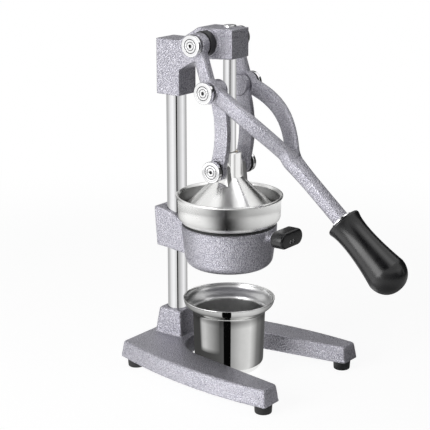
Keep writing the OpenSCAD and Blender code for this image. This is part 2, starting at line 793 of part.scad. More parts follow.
module lever_casting() {
    color(paint) difference() {
        union() {
            for (side = [-1, 1]) {
                short_arm(side);
                pin_x(side, hub_r, hub_in, hub_out, pivot_back, pivot_z);
                pin_x(side, hub_r + 0.5, hub_in, hub_out, elbow_y, elbow_z);
            }
            yoke();
            at_collar() translate([0, 0, -8]) cylinder(r = tang_r, h = tang_reach + 8);
        }
        for (side = [-1, 1]) {
            pin_x(side, shaft_r + fit, hub_in - over, hub_out + over, pivot_back, pivot_z);
            pin_x(side, shaft_r + fit, hub_in - over, hub_out + over, elbow_y, elbow_z);
        }
    }
}

module grip_collar() {
    color(chrome_tone) at_collar() translate([0, 0, seat]) difference() {
        cylinder(r = shank_d / 2 + 4.5, h = collar_len);
        translate([0, 0, -over]) cylinder(r = tang_r + fit, h = collar_len + 2 * over);
    }
}

// The grip: a flared lip, a waist for the fingers and a full round end
module lever_grip() {
    r = grip_r;
    l = grip_len;
    start = collar_len + 2 * seat;
    waist = [for (i = [0:14]) cubic([r * 0.87, l * 0.038], [r * 0.70, l * 0.151], [r * 0.76, l * 0.42],
        [r, l * 0.74], i / 14)];
    color(black_tone) at_collar() translate([0, 0, start]) difference() {
        rotate_extrude() polygon(concat([[0, 0], [r * 0.84, 0], [r * 0.885, l * 0.015]], waist,
            [for (i = [1:12]) let (a = 90 * i / 12)
                [r * pow(cos(a), 0.9), l * 0.74 + (l * 0.26 - start) * sin(a)]]));
        translate([0, 0, -over]) cylinder(r = tang_r + fit, h = tang_reach + over);
    }
}

// ---------------------------------------------------------------- links

module link_outline() {
    mid = [elbow_y / 2, (elbow_z + lower_z) / 2];
    half = link_len / 2;
    bow_r = (half * half + link_bulge * link_bulge) / (2 * link_bulge);
    lean = atan2(elbow_y, elbow_z - lower_z);
    translate(mid) rotate(-lean) {
        intersection() {
            translate([bow_r - link_bulge, 0]) difference() {
                circle(r = bow_r + link_depth / 2, $fn = 180);
                circle(r = bow_r - link_depth / 2, $fn = 180);
            }
            translate([-half, -half]) square([half * 1.3, 2 * half]);
        }
        for (end = [-half, half]) translate([0, end]) circle(r = link_end_r);
    }
}

module link(side) {
    color(paint) difference() {
        union() {
            side_slab_at(side, link_in, link_out) link_outline();
            pin_x(side, link_end_r + 0.5, link_in - link_boss, link_in + over, elbow_y, elbow_z);
        }
        pin_x(side, lower_pin_r + fit, link_in - over, link_out + over, 0, lower_z);
        pin_x(side, shaft_r + 0.4, link_out - 5, link_out + over, elbow_y, elbow_z);
    }
}

module link_left() { link(-1); }
module link_right() { link(1); }

// ---------------------------------------------------------------- press

// Height of the cone's outer surface at radius r
function cone_z(r) = apex_z - r * cone_slope;

module lug_outline() {
    reach = 11;
    union() {
        translate([0, lower_z]) circle(r = reach);
        polygon([[-reach, lower_z], [reach, lower_z], [reach + 2, cone_z(lug_out + 4)],
            [-reach - 2, cone_z(lug_out + 4)]]);
    }
}

module press_funnel() {
    skirt_z = cone_z(skirt_r);
    lip = 6;
    w = cone_wall / sin(cone_angle);
    bush_seat_z = cone_z(bush_r) - w + 2;
    color(steel_tone) difference() {
        union() {
            rotate_extrude() polygon([[0, skirt_z - lip], [skirt_r, skirt_z - lip], [skirt_r, skirt_z],
                [sleeve_r, cone_z(sleeve_r)], [sleeve_r, sleeve_top - 1], [sleeve_r - 1, sleeve_top],
                [0, sleeve_top]]);
            for (side = [-1, 1]) side_slab_at(side, sleeve_r - 3, lug_out) lug_outline();
        }
        rotate_extrude() polygon([[0, skirt_z - lip - over], [skirt_r - 2, skirt_z - lip - over],
            [skirt_r - 2, cone_z(skirt_r - 2) - w], [rod_r + 0.6, cone_z(rod_r + 0.6) - w],
            [0, cone_z(rod_r + 0.6) - w]]);
        cylinder(r = rod_r + 0.6, h = sleeve_top + over);
        translate([0, 0, bush_seat_z]) cylinder(r = bush_r + fit, h = sleeve_top);
        for (side = [-1, 1]) pin_x(side, lower_pin_r + fit, bush_r + 1.4, lug_out + over, 0, lower_z);
    }
}

module guide_bush() {
    w = cone_wall / sin(cone_angle);
    bush_z = cone_z(bush_r) - w + 2 + seat;
    color(brass_tone) translate([0, 0, bush_z]) difference() {
        cylinder(r = bush_r, h = sleeve_top - bush_z - 2.5);
        translate([0, 0, -over]) cylinder(r = rod_r + fit, h = sleeve_top);
    }
}

// ---------------------------------------------------------------- juice cup

module juice_cup() {
    w = cup_wall;
    c = cup_corner_r;
    low_r = cup_r - cup_taper;
    out = cup_rim_r - cup_r;
    flare = [for (i = [0:8]) cubic(
        [cup_r, cup_h - cup_flare], [cup_r + 0.02 * out, cup_h - 0.55 * cup_flare],
        [cup_rim_r - w / 2, cup_h - 0.6 * cup_flare], [cup_rim_r - w / 2, cup_h - w], i / 8)];
    inner = [for (i = [8:-1:0]) [flare[i][0] - w, flare[i][1] + 0.5]];
    color(steel_tone) rotate_extrude() polygon(concat(
        [[0, 0], [low_r - c, 0]], arc(low_r - c, c, c, -90, 0, 10), flare,
        arc(cup_rim_r - w / 2, cup_h - w / 2, w / 2, -60, 90, 4), inner,
        [for (p = arc(low_r - c, c, c - w, 0, -90, 10)) p], [[0, w]]));
}

// ---------------------------------------------------------------- assembly

base_casting();
foot_front_left();
foot_front_right();
foot_rear_left();
foot_rear_right();
foot_screws();
column();
column_bolt();
column_washer();
socket_screw();
holder_casting();
holder_screws();
holder_knob();
knob_screws();
bowl_seat_ring();
juice_bowl();
strainer_cone();
head_casting();
head_screws();
guide_rod();
guide_rod_screw();
pivot_shaft();
shaft_cap_left();
shaft_cap_right();
hub_washers();
lever_casting();
elbow_pin_left();
elbow_pin_right();
elbow_cap_left();
elbow_cap_right();
grip_collar();
lever_grip();
press_funnel();
guide_bush();
lower_pin_left();
lower_pin_right();
lower_cap_left();
lower_cap_right();
link_washers();
link_left();
link_right();
juice_cup();
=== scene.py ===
# %% [markdown]
# # A lever citrus press
#
# A cast stand carries a chrome column. The column carries a bowl holder and a head,
# and a forked lever on the head drives a steel press cone down a guide rod. The
# engineering model gives every piece its place and size. This script gives each
# piece the surface and the finish that the real one has.

# %% Load the engineering model
import json

import bmesh
import bpy
import numpy as np
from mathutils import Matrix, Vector


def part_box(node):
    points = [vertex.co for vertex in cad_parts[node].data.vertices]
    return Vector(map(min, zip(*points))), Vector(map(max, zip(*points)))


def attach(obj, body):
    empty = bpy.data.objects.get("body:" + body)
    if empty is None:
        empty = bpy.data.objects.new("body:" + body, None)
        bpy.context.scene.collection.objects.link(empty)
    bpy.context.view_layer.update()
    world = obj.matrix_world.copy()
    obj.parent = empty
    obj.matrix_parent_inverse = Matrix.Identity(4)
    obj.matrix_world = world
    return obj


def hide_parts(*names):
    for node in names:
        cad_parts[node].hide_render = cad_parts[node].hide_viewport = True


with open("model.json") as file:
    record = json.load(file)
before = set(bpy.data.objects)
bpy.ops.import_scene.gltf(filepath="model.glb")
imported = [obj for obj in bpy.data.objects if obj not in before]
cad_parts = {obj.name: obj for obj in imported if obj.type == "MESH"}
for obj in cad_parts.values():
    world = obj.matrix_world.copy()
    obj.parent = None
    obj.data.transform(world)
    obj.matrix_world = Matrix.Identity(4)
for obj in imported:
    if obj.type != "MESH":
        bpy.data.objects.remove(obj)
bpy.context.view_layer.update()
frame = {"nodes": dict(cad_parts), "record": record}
record = frame["record"]
nodes = frame["nodes"]
body_of_node = {n: body for body, names in record["behaviour"]["bodies"].items() for n in names}
slot_of_node = {s["node"]: s["material_slot"] for s in record["subparts"]}
MM = 0.001

# %% [markdown]
# ## The camera
#
# A product picture of a tall object is taken from well back with a long lens, so that
# upright edges stay upright. The camera stands about 1.8 m away, in front and to the
# left, a little above the lever's pivots, and looks slightly down.

# %% Camera
CAMERA_PLACE = Vector((-1.3343, -0.9834, 0.6710))
CAMERA_AZIMUTH = np.radians(53.0)
CAMERA_TILT = np.radians(15.8)
LENS, SENSOR_WIDTH = 117.2, 36.0
FAR_CLIP = 50.0

look = Vector((np.sin(CAMERA_AZIMUTH) * np.cos(CAMERA_TILT),
               np.cos(CAMERA_AZIMUTH) * np.cos(CAMERA_TILT), -np.sin(CAMERA_TILT)))
camera = bpy.data.objects.new("camera", bpy.data.cameras.new("camera"))
bpy.context.scene.collection.objects.link(camera)
camera.location = CAMERA_PLACE
camera.rotation_euler = look.to_track_quat("-Z", "Y").to_euler()
camera.data.lens = LENS
camera.data.sensor_width = SENSOR_WIDTH
camera.data.clip_end = FAR_CLIP
bpy.context.scene.camera = camera
print("camera at", tuple(round(v, 3) for v in camera.location))

# %% [markdown]
# ## Surfaces from numbers
#
# Most pieces are lathe work, and the rest are bars and slabs. Each could be modelled
# by hand from a cylinder or a cube, but a formula keeps its sizes in plain view. So a
# shape is a grid of points that is worked out all at once, and each cell of the grid
# becomes a face. Where a ring has shrunk to one point, welding the doubles closes it.

# %% Grid surfaces
def surface(name, grid, wrap_u=False, wrap_v=False):
    """Mesh object from a grid of points (u, v, 3): each cell of the grid is one quad.
    A wrapped direction joins its last row to its first. Doubles are welded and the
    faces are turned outwards."""
    grid = np.asarray(grid, float)
    nu, nv = grid.shape[:2]
    index = np.arange(nu * nv).reshape(nu, nv)
    if wrap_u:
        index = np.vstack([index, index[:1]])
    if wrap_v:
        index = np.hstack([index, index[:, :1]])
    quads = np.stack([index[:-1, :-1], index[1:, :-1], index[1:, 1:], index[:-1, 1:]], -1)
    mesh = bpy.data.meshes.new(name)
    mesh.from_pydata(grid.reshape(-1, 3), [], quads.reshape(-1, 4).tolist())
    obj = bpy.data.objects.new(name, mesh)
    bpy.context.scene.collection.objects.link(obj)
    tidy_mesh(obj)
    return obj


def tidy_mesh(obj, weld=1e-6):
    """Welds doubles, drops what has no area and turns the faces outwards."""
    work = bmesh.new()
    work.from_mesh(obj.data)
    bmesh.ops.remove_doubles(work, verts=work.verts, dist=weld)
    bmesh.ops.dissolve_degenerate(work, edges=work.edges, dist=weld)
    bmesh.ops.recalc_face_normals(work, faces=work.faces)
    work.to_mesh(obj.data)
    work.free()
    obj.data.shade_smooth()


def turned(name, profile, centre, along=(0, 0, 1), turns=128):
    """Surface of revolution: a profile point (r, h) goes to
    centre + h * along + r * (cos a * e1 + sin a * e2), for a from 0 to a full turn."""
    along = np.asarray(along, float) / np.linalg.norm(along)
    side = np.array([1.0, 0, 0]) if abs(along[0]) < 0.9 else np.array([0, 1.0, 0])
    e1 = np.cross(along, side)
    e1 /= np.linalg.norm(e1)
    e2 = np.cross(along, e1)
    a = np.linspace(0, 2 * np.pi, turns, endpoint=False)
    radial = np.cos(a)[:, None] * e1 + np.sin(a)[:, None] * e2
    r, h = np.asarray(profile, float).T
    grid = np.asarray(centre, float) + h[:, None, None] * along + r[:, None, None] * radial
    return surface(name, grid, wrap_v=True)


def closed_tube(name, rings):
    """Closed shell from rings of points in millimetres: at both ends one more ring,
    shrunk to the middle of the last one, closes it."""
    ends = [np.broadcast_to(rings[i].mean(0), rings[i].shape)[None] for i in (0, -1)]
    return surface(name, np.vstack([ends[0], rings, ends[1]]) * MM, wrap_v=True)


print("surface helpers ready")

# %% [markdown]
# ## Curves for profiles
#
# A profile is drawn like a lathe drawing: corners with a radius at each, arcs, and
# one free curve where a wall swells or flares. Rounding the corners in the profile
# gives even edges at once, so that no piece needs a bevel afterwards.

# %% Profile curves
def rounded(corners, sizes, steps=6):
    """Profile through the corners, each rounded: a quadratic curve runs from a point
    the given size before the corner to one the same size after it."""
    points = [np.asarray(c, float) for c in corners]
    out = []
    t = np.linspace(0, 1, steps + 1)[:, None]
    for i, (corner, size) in enumerate(zip(points, sizes)):
        if size == 0 or i in (0, len(points) - 1):
            out.append(corner[None])
            continue
        back, on = points[i - 1] - corner, points[i + 1] - corner
        reach = min(size, 0.48 * np.linalg.norm(back), 0.48 * np.linalg.norm(on))
        a = corner + back / np.linalg.norm(back) * reach
        b = corner + on / np.linalg.norm(on) * reach
        out.append((1 - t) ** 2 * a + 2 * t * (1 - t) * corner + t ** 2 * b)
    return np.vstack(out)


def rod_profile(radius, low, high, edges):
    """Profile of a solid rod from low to high, its two corners rounded by the edges."""
    return rounded([(0, low), (radius, low), (radius, high), (0, high)], [0, *edges, 0])


def ring_profile(bore, radius, low, high, edge):
    """Closed profile of a flat ring, its two outer corners rounded by the edge."""
    return rounded([(bore, low), (radius, low), (radius, high), (bore, high), (bore, low)],
                   [0, edge, edge, 0, 0])


def arc(centre, radius, start, end, count):
    """Points centre + radius * (cos a, sin a), for a between two angles in degrees."""
    a = np.radians(np.linspace(start, end, count))
    return np.stack([centre[0] + radius * np.cos(a), centre[1] + radius * np.sin(a)], -1)


def cubic(p, t):
    """Cubic Bezier curve from p[0] to p[3], drawn towards p[1] and p[2] on the way."""
    p, t = np.asarray(p, float), np.asarray(t, float)[:, None]
    u = 1 - t
    return u ** 3 * p[0] + 3 * t * u ** 2 * p[1] + 3 * t * t * u * p[2] + t ** 3 * p[3]


def soft_square(count, power):
    """Points round a square with soft corners, as (across, up), both in -1..1:
    sign(cos a) |cos a|^power and sign(sin a) |sin a|^power."""
    a = np.linspace(0, 2 * np.pi, count, endpoint=False)
    return (np.sign(np.cos(a)) * np.abs(np.cos(a)) ** power,
            np.sign(np.sin(a)) * np.abs(np.sin(a)) ** power)


def round_edges(low, high, edge, steps):
    """Quarter circles at both faces of a slab from low to high: how far each ring of
    points is inset there, and where in the slab it lies."""
    b = np.radians(np.linspace(0, 90, steps))
    inset = abs(edge) * np.concatenate([1 - np.sin(b), 1 - np.cos(b)])
    return inset, np.concatenate([low + edge * (1 - np.cos(b)), high - edge * (1 - np.sin(b))])


print("profile helpers ready")

# %% [markdown]
# ## Pieces and their nodes
#
# Each finished surface stands for one node of the engineering model, in place of the
# node, and rides on that node's body. A piece may carry a second finish on some of its
# faces, which are picked by where they are and which way they look.

# %% Dressing a piece
def dress(obj, node, finish, stands_for=True):
    """Gives a finished piece its material and body, in place of the CAD node."""
    obj.data.materials.clear()
    obj.data.materials.append(finish)
    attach(obj, body_of_node[node])
    if stands_for:
        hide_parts(node)
    return obj


def box_mm(node):
    """Lowest and highest corner of a CAD node's box, as arrays in millimetres."""
    return tuple(np.array(corner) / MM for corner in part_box(node))


def middle(node):
    """Centre of a CAD node's box, as an array in metres."""
    low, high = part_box(node)
    return (np.array(low) + np.array(high)) / 2


def face_middles(obj):
    """Centre of every face, as an array in metres."""
    spots = np.empty(len(obj.data.polygons) * 3)
    obj.data.polygons.foreach_get("center", spots)
    return spots.reshape(-1, 3)


def looks_inside(obj):
    """True for the faces of a turned piece that look up or towards the upright axis."""
    spots, facing = face_middles(obj), np.empty(len(obj.data.polygons) * 3)
    obj.data.polygons.foreach_get("normal", facing)
    facing = facing.reshape(-1, 3)
    from_axis = np.maximum(np.hypot(spots[:, 0], spots[:, 1]), 1e-6)
    outward = (spots[:, :2] * facing[:, :2]).sum(1) / from_axis
    return (outward < -0.05) | (facing[:, 2] > 0.5)


def second_finish(obj, finish, chosen):
    """Gives the chosen faces of a piece another finish."""
    index = np.zeros(len(obj.data.polygons), np.int32)
    obj.data.polygons.foreach_get("material_index", index)
    index[chosen] = len(obj.data.materials)
    obj.data.materials.append(finish)
    obj.data.polygons.foreach_set("material_index", index)
    return obj


print("piece helpers ready")

# %% [markdown]
# ## Shader groups
#
# Effects that several finishes share are node groups with named inputs. Each group
# puts out colours, masks and heights that vary over the surface, read from Object
# coordinates in metres, and each material sets its own values.

# %% Helpers for shader nodes
def new_group(name, inputs, outputs):
    """Empty shader group with the given (name, default) inputs and output names."""
    tree = bpy.data.node_groups.new(name, "ShaderNodeTree")
    for label, default in inputs:
        kind = "NodeSocketColor" if isinstance(default, tuple) else "NodeSocketFloat"
        tree.interface.new_socket(label, in_out="INPUT", socket_type=kind).default_value = default
    for label in outputs:
        kind = "NodeSocketColor" if label == "Color" else "NodeSocketFloat"
        tree.interface.new_socket(label, in_out="OUTPUT", socket_type=kind)
    return tree, tree.nodes.new("NodeGroupInput"), tree.nodes.new("NodeGroupOutput")


def feed(tree, socket, value):
    """Links a socket to the value where that is a socket too, and otherwise sets it."""
    if hasattr(value, "is_linked"):
        tree.links.new(value, socket)
    else:
        socket.default_value = value


def math_node(tree, operation, a, b=None, clamp=False):
    """Output of a Math node; a and b are sockets or numbers."""
    node = tree.nodes.new("ShaderNodeMath")
    node.operation = operation
    node.use_clamp = clamp
    feed(tree, node.inputs[0], a)
    if b is not None:
        feed(tree, node.inputs[1], b)
    return node.outputs[0]


def ramp(tree, value, low, high, out_low=0.0, out_high=1.0):
    """Smooth step of a value from low..high to out_low..out_high."""
    node = tree.nodes.new("ShaderNodeMapRange")
    node.interpolation_type = "SMOOTHSTEP"
    for label, v in (("From Min", low), ("From Max", high), ("To Min", out_low), ("To Max", out_high)):
        node.inputs[label].default_value = v
    tree.links.new(value, node.inputs["Value"])
    return node.outputs["Result"]


def mix_numbers(tree, factor, a, b):
    """Mix of two numbers: a * (1 - factor) + b * factor."""
    node = tree.nodes.new("ShaderNodeMix")
    for socket, value in zip(node.inputs[:1] + node.inputs[2:4], (factor, a, b)):
        feed(tree, socket, value)
    return node.outputs[0]


def mix_colour(tree, factor, a, b):
    """Mix of two colours: a * (1 - factor) + b * factor."""
    node = tree.nodes.new("ShaderNodeMix")
    node.data_type = "RGBA"
    for socket, value in zip(node.inputs[:1] + node.inputs[6:8], (factor, a, b)):
        feed(tree, socket, value)
    return node.outputs[2]


def noise(tree, place, scale, detail, roughness, output="Fac"):
    """Noise over the place: the scale is how many lumps go into a metre."""
    node = tree.nodes.new("ShaderNodeTexNoise")
    feed(tree, node.inputs["Scale"], scale)
    node.inputs["Detail"].default_value = detail
    node.inputs["Roughness"].default_value = roughness
    tree.links.new(place, node.inputs["Vector"])
    return node.outputs[output]


def object_place(tree):
    """Place of a point in the piece's own coordinates."""
    return tree.nodes.new("ShaderNodeTexCoord").outputs["Object"]


print("shader helpers ready")

# %% [markdown]
# ## Hammered enamel
#
# The castings have hammered enamel: a silver-grey paint with aluminium flake that
# draws together into small shallow dimples as it dries. Voronoi cells give the
# dimples, and noise breaks them up so that no two are alike. The rims of the dimples
# are a darker, bluer grey because the flake settles in their middles.

# %% Hammered enamel group
CELL_WOBBLE = 0.6 * MM


def build_hammered():
    """Darkness is half the dimple's rim, plus specks and cloudy patches. Height is the
    dimple plus a quarter of the grain."""
    tree, given, out = new_group("hammered enamel",
        [("Cell Scale", 420.0), ("Light", (0.6, 0.6, 0.63, 1)), ("Dark", (0.3, 0.3, 0.34, 1)),
         ("Contrast", 1.0)], ("Color", "Roughness", "Height"))
    place = object_place(tree)
    shift = tree.nodes.new("ShaderNodeVectorMath")
    shift.operation = "MULTIPLY_ADD"
    shift.inputs[1].default_value = (CELL_WOBBLE, CELL_WOBBLE, CELL_WOBBLE)
    tree.links.new(noise(tree, place, 800.0, 1.0, 0.5, "Color"), shift.inputs[0])
    tree.links.new(place, shift.inputs[2])
    cells = tree.nodes.new("ShaderNodeTexVoronoi")
    cells.feature = "SMOOTH_F1"
    cells.inputs["Smoothness"].default_value = 0.6
    tree.links.new(shift.outputs[0], cells.inputs["Vector"])
    tree.links.new(given.outputs["Cell Scale"], cells.inputs["Scale"])
    dimple = ramp(tree, cells.outputs["Distance"], 0.15, 0.75)
    grains = noise(tree, place, 1150.0, 2.5, 0.75)
    rim = math_node(tree, "MULTIPLY", dimple, given.outputs["Contrast"])
    speck = ramp(tree, grains, 0.4, 0.6, 0.0, 0.52)
    patch = ramp(tree, noise(tree, place, 45.0, 3.0, 0.6), 0.35, 0.7, 0.0, 0.06)
    mask = math_node(tree, "ADD", math_node(tree, "MULTIPLY", rim, 0.5), speck)
    mask = math_node(tree, "ADD", mask, patch, clamp=True)
    colour = mix_colour(tree, mask, given.outputs["Light"], given.outputs["Dark"])
    tree.links.new(colour, out.inputs["Color"])
    rough = math_node(tree, "ADD", math_node(tree, "MULTIPLY", grains, 0.2), 0.25)
    tree.links.new(rough, out.inputs["Roughness"])
    height = math_node(tree, "ADD", dimple, math_node(tree, "MULTIPLY", grains, 0.25))
    tree.links.new(height, out.inputs["Height"])
    return tree


hammered_group = build_hammered()
print("group:", hammered_group.name)

# %% [markdown]
# ## Spun and brushed steel
#
# Sheet steel is spun on a lathe and polished, which leaves very fine rings round the
# axis. A noise that is stretched along the ring direction gives them: it reads only
# the height and the radius of a point, so a ring is the same all the way round.

# %% Spun steel group
def build_spun():
    """Height is noise over (radius, height), where the radius is sqrt(x^2 + y^2). The
    roughness goes from low to high with a smear over the piece."""
    tree, given, out = new_group("spun rings",
        [("Ring Scale", 2600.0), ("Roughness Low", 0.1), ("Roughness High", 0.24)],
        ("Mask", "Roughness", "Height"))
    place = object_place(tree)
    split = tree.nodes.new("ShaderNodeSeparateXYZ")
    tree.links.new(place, split.inputs[0])
    x, y, z = split.outputs
    square = math_node(tree, "ADD", math_node(tree, "MULTIPLY", x, x), math_node(tree, "MULTIPLY", y, y))
    join = tree.nodes.new("ShaderNodeCombineXYZ")
    tree.links.new(math_node(tree, "SQRT", square), join.inputs[0])
    tree.links.new(z, join.inputs[2])
    lines = noise(tree, join.outputs[0], given.outputs["Ring Scale"], 3.0, 0.7)
    mask = ramp(tree, noise(tree, place, 35.0, 3.0, 0.6), 0.35, 0.7)
    rough = mix_numbers(tree, mask, given.outputs["Roughness Low"], given.outputs["Roughness High"])
    tree.links.new(mask, out.inputs["Mask"])
    tree.links.new(rough, out.inputs["Roughness"])
    tree.links.new(lines, out.inputs["Height"])
    return tree


spun_group = build_spun()
print("group:", spun_group.name)

# %% [markdown]
# ## Fine wear
#
# Even new chrome, rubber and moulded plastic are not perfectly even: handling leaves
# faint smudges that are a little rougher than the rest. One low noise makes them, so
# that a highlight breaks up slightly as it runs over a piece.

# %% Fine wear group
def build_wear():
    """The mask is a smooth step of noise, the roughness goes from low to high with it,
    and the height is a much finer noise."""
    tree, given, out = new_group("fine wear", [("Scale", 60.0), ("Low", 0.05), ("High", 0.12)],
                                 ("Roughness", "Mask", "Height"))
    place = object_place(tree)
    mask = ramp(tree, noise(tree, place, given.outputs["Scale"], 4.0, 0.65), 0.38, 0.68)
    rough = mix_numbers(tree, mask, given.outputs["Low"], given.outputs["High"])
    tree.links.new(rough, out.inputs["Roughness"])
    tree.links.new(mask, out.inputs["Mask"])
    tree.links.new(noise(tree, place, 900.0, 3.0, 0.6), out.inputs["Height"])
    return tree


wear_group = build_wear()
print("group:", wear_group.name)

# %% [markdown]
# ## The finishes
#
# A material could be built by hand for each finish, but then they drift apart. Here
# one function makes a material around a group, and each finish sets what is its own:
# roughness, relief, colour, the tint of its smudges, and whether it is metal. Lathe
# marks also stretch the highlight of spun steel, so that one gets an anisotropic
# shader with its tangent round the upright axis.

# %% Materials
def material(name, group, values, relief, colour=None, tint=None, metallic=0.0):
    """Principled material: the group drives roughness and bump. The relief is the
    bump's strength and depth. The group's Mask mixes the colour towards the tint."""
    finish = bpy.data.materials.new(name)
    finish.use_nodes = True
    tree = finish.node_tree
    shader = tree.nodes["Principled BSDF"]
    effect = tree.nodes.new("ShaderNodeGroup")
    effect.node_tree = group
    for label, value in values.items():
        effect.inputs[label].default_value = value
    tree.links.new(effect.outputs["Roughness"], shader.inputs["Roughness"])
    shade = effect.outputs["Color"] if colour is None else mix_colour(
        tree, effect.outputs["Mask"], (*colour, 1), (*tint, 1))
    tree.links.new(shade, shader.inputs["Base Color"])
    shader.inputs["Metallic"].default_value = metallic
    bump = tree.nodes.new("ShaderNodeBump")
    bump.inputs["Strength"].default_value, bump.inputs["Distance"].default_value = relief
    tree.links.new(effect.outputs["Height"], bump.inputs["Height"])
    tree.links.new(bump.outputs["Normal"], shader.inputs["Normal"])
    return finish


def spun(name, scale, low, high, relief, colour, tint):
    """Steel with lathe rings."""
    values = {"Ring Scale": scale, "Roughness Low": low, "Roughness High": high}
    return material(name, spun_group, values, relief, colour, tint, 1.0)


def worn(name, scale, low, high, relief, colour, tint, metallic=0.0):
    """Plain finish with faint smudges."""
    values = {"Scale": scale, "Low": low, "High": high}
    return material(name, wear_group, values, relief, colour, tint, metallic)


enamel = material("hammered silver enamel", hammered_group,
                  {"Cell Scale": 800.0, "Light": (0.74, 0.73, 0.78, 1), "Dark": (0.2, 0.195, 0.24, 1),
                   "Contrast": 1.0}, (0.8, 0.0005), metallic=0.85)
steel = spun("spun steel", 2600.0, 0.27, 0.32, (0.05, 0.00005), (0.86, 0.86, 0.85), (0.82, 0.82, 0.81))
mirror_steel = spun("polished steel", 1800.0, 0.05, 0.09, (0.02, 0.00002),
                    (0.86, 0.86, 0.85), (0.8, 0.8, 0.79))
# Both satin steels are rougher than the outside steel, and their darker colour is painted shade for the
# insides of bowl and cup.
satin_steel_inside_shade = spun("satin steel", 2200.0, 0.36, 0.42, (0.05, 0.00005),
                   (0.42, 0.42, 0.42), (0.38, 0.38, 0.38))
cup_steel_inside_shade = spun("satin cup steel", 2200.0, 0.28, 0.34, (0.05, 0.00005),
                 (0.64, 0.64, 0.64), (0.58, 0.58, 0.58))
chrome = worn("polished chrome", 30.0, 0.06, 0.09, (0.01, 0.00001),
              (0.93, 0.93, 0.94), (0.9, 0.9, 0.91), 1.0)
gloss_black = worn("gloss black moulding", 40.0, 0.24, 0.3, (0.04, 0.0002),
                   (0.006, 0.006, 0.007), (0.009, 0.009, 0.01))
rubber = worn("black rubber", 80.0, 0.5, 0.7, (0.25, 0.0004), (0.012, 0.012, 0.013), (0.03, 0.03, 0.032))
nylon = worn("black nylon", 80.0, 0.35, 0.5, (0.1, 0.0003), (0.015, 0.015, 0.016), (0.03, 0.03, 0.03))
brass = worn("turned brass", 70.0, 0.2, 0.35, (0.08, 0.0002), (0.62, 0.44, 0.2), (0.5, 0.36, 0.17), 1.0)
# Zinc plated steel is the screws' own finish; on the pivot caps it also serves as a painted dark outline
# on the slope round the front face.
zinc_and_rim_shade = worn("zinc plated steel", 90.0, 0.25, 0.42, (0.08, 0.0002),
            (0.55, 0.55, 0.56), (0.45, 0.45, 0.47), 1.0)
# Near-black finish: painted shade in the ring grooves, centre hole and waist of the pivot caps.
hollow_shade_black = worn("blackened steel", 90.0, 0.4, 0.5, (0.08, 0.0002),
                  (0.03, 0.03, 0.032), (0.05, 0.05, 0.05), 0.6)

shader = steel.node_tree.nodes["Principled BSDF"]
shader.inputs["Anisotropic"].default_value = 0.85
shader.inputs["Anisotropic Rotation"].default_value = 0.25
tangent = steel.node_tree.nodes.new("ShaderNodeTangent")
tangent.direction_type, tangent.axis = "RADIAL", "Z"
steel.node_tree.links.new(tangent.outputs[0], shader.inputs["Tangent"])

finish_of_slot = {"silver_paint": enamel, "chrome": chrome, "stainless": steel, "rubber": rubber,
                  "black_plastic": gloss_black, "black_nylon": nylon, "brass": brass, "screw_steel": zinc_and_rim_shade}
for name, node in nodes.items():
    node.data.materials.clear()
    node.data.materials.append(finish_of_slot[slot_of_node[name]])
print("finishes:", [m.name for m in finish_of_slot.values()])

# %% [markdown]
# ## The floor
#
# A counter press is shown on white, with only a soft shadow at its feet. A white floor
# that is lit until it clips would drown the metal in light. So the floor is matt and
# pale for the light that falls on it, and what the eye and polished metal see of it
# is a separate, nearly white mix that still darkens where the press keeps light off.

# %% Floor
FLOOR_HALF = 6.0
FLOOR_MATT, FLOOR_SHADOW, FLOOR_GLOW = 0.93, 0.2, 0.91
FLOOR_FADE = (0.55, 1.1)


def stage_mesh(name, corners, faces, finish):
    """Flat piece of the stage from its corners and faces."""
    mesh = bpy.data.meshes.new(name)
    mesh.from_pydata([tuple(map(float, c)) for c in corners], [], faces)
    obj = bpy.data.objects.new(name, mesh)
    obj.data.materials.append(finish)
    bpy.context.scene.collection.objects.link(obj)
    return obj


def empty_material(name):
    """Material without nodes but its output: (material, node tree, surface socket)."""
    finish = bpy.data.materials.new(name)
    finish.use_nodes = True
    tree = finish.node_tree
    tree.nodes.clear()
    return finish, tree, tree.nodes.new("ShaderNodeOutputMaterial").inputs["Surface"]


def seen_ray(tree):
    """1 for a ray from the camera, off a polished surface or through glass."""
    rays = tree.nodes.new("ShaderNodeLightPath")
    seen = math_node(tree, "MAXIMUM", rays.outputs["Is Camera Ray"], rays.outputs["Is Glossy Ray"])
    return math_node(tree, "MAXIMUM", seen, rays.outputs["Is Transmission Ray"])


def matt_shader(tree, grey):
    """Shader of a matt surface in one grey."""
    matt = tree.nodes.new("ShaderNodeBsdfDiffuse")
    matt.inputs["Color"].default_value = (grey, grey, grey, 1)
    return matt.outputs[0]


def glow_shader(tree, strength):
    """Shader of a white glow; a strength of 1 is seen as white."""
    glow = tree.nodes.new("ShaderNodeEmission")
    glow.inputs["Strength"].default_value = strength
    return glow.outputs[0]


def mix_shaders(tree, factor, a, b):
    """Mix of two shaders: a where the factor is 0, b where it is 1."""
    mixer = tree.nodes.new("ShaderNodeMixShader")
    for socket, value in zip(mixer.inputs, (factor, a, b)):
        tree.links.new(value, socket)
    return mixer.outputs[0]


def floor_material():
    """Matt and pale to the light. To the camera it is white, less a little where the
    light is kept off, and that shadow fades out away from the press."""
    finish, tree, surface_socket = empty_material("pale floor")
    near = tree.nodes.new("ShaderNodeAddShader")
    tree.links.new(matt_shader(tree, FLOOR_SHADOW), near.inputs[0])
    tree.links.new(glow_shader(tree, FLOOR_GLOW), near.inputs[1])
    distance = tree.nodes.new("ShaderNodeVectorMath")
    distance.operation = "LENGTH"
    tree.links.new(object_place(tree), distance.inputs[0])
    fade = ramp(tree, distance.outputs["Value"], *FLOOR_FADE)
    shown = mix_shaders(tree, fade, near.outputs[0], glow_shader(tree, 1.0))
    tree.links.new(mix_shaders(tree, seen_ray(tree), matt_shader(tree, FLOOR_MATT), shown), surface_socket)
    return finish


s = FLOOR_HALF
stage_mesh("floor", [(-s, -s, 0), (s, -s, 0), (s, s, 0), (-s, s, 0)], [(0, 1, 2, 3)], floor_material())
print("floor:", 2 * FLOOR_HALF, "m across")

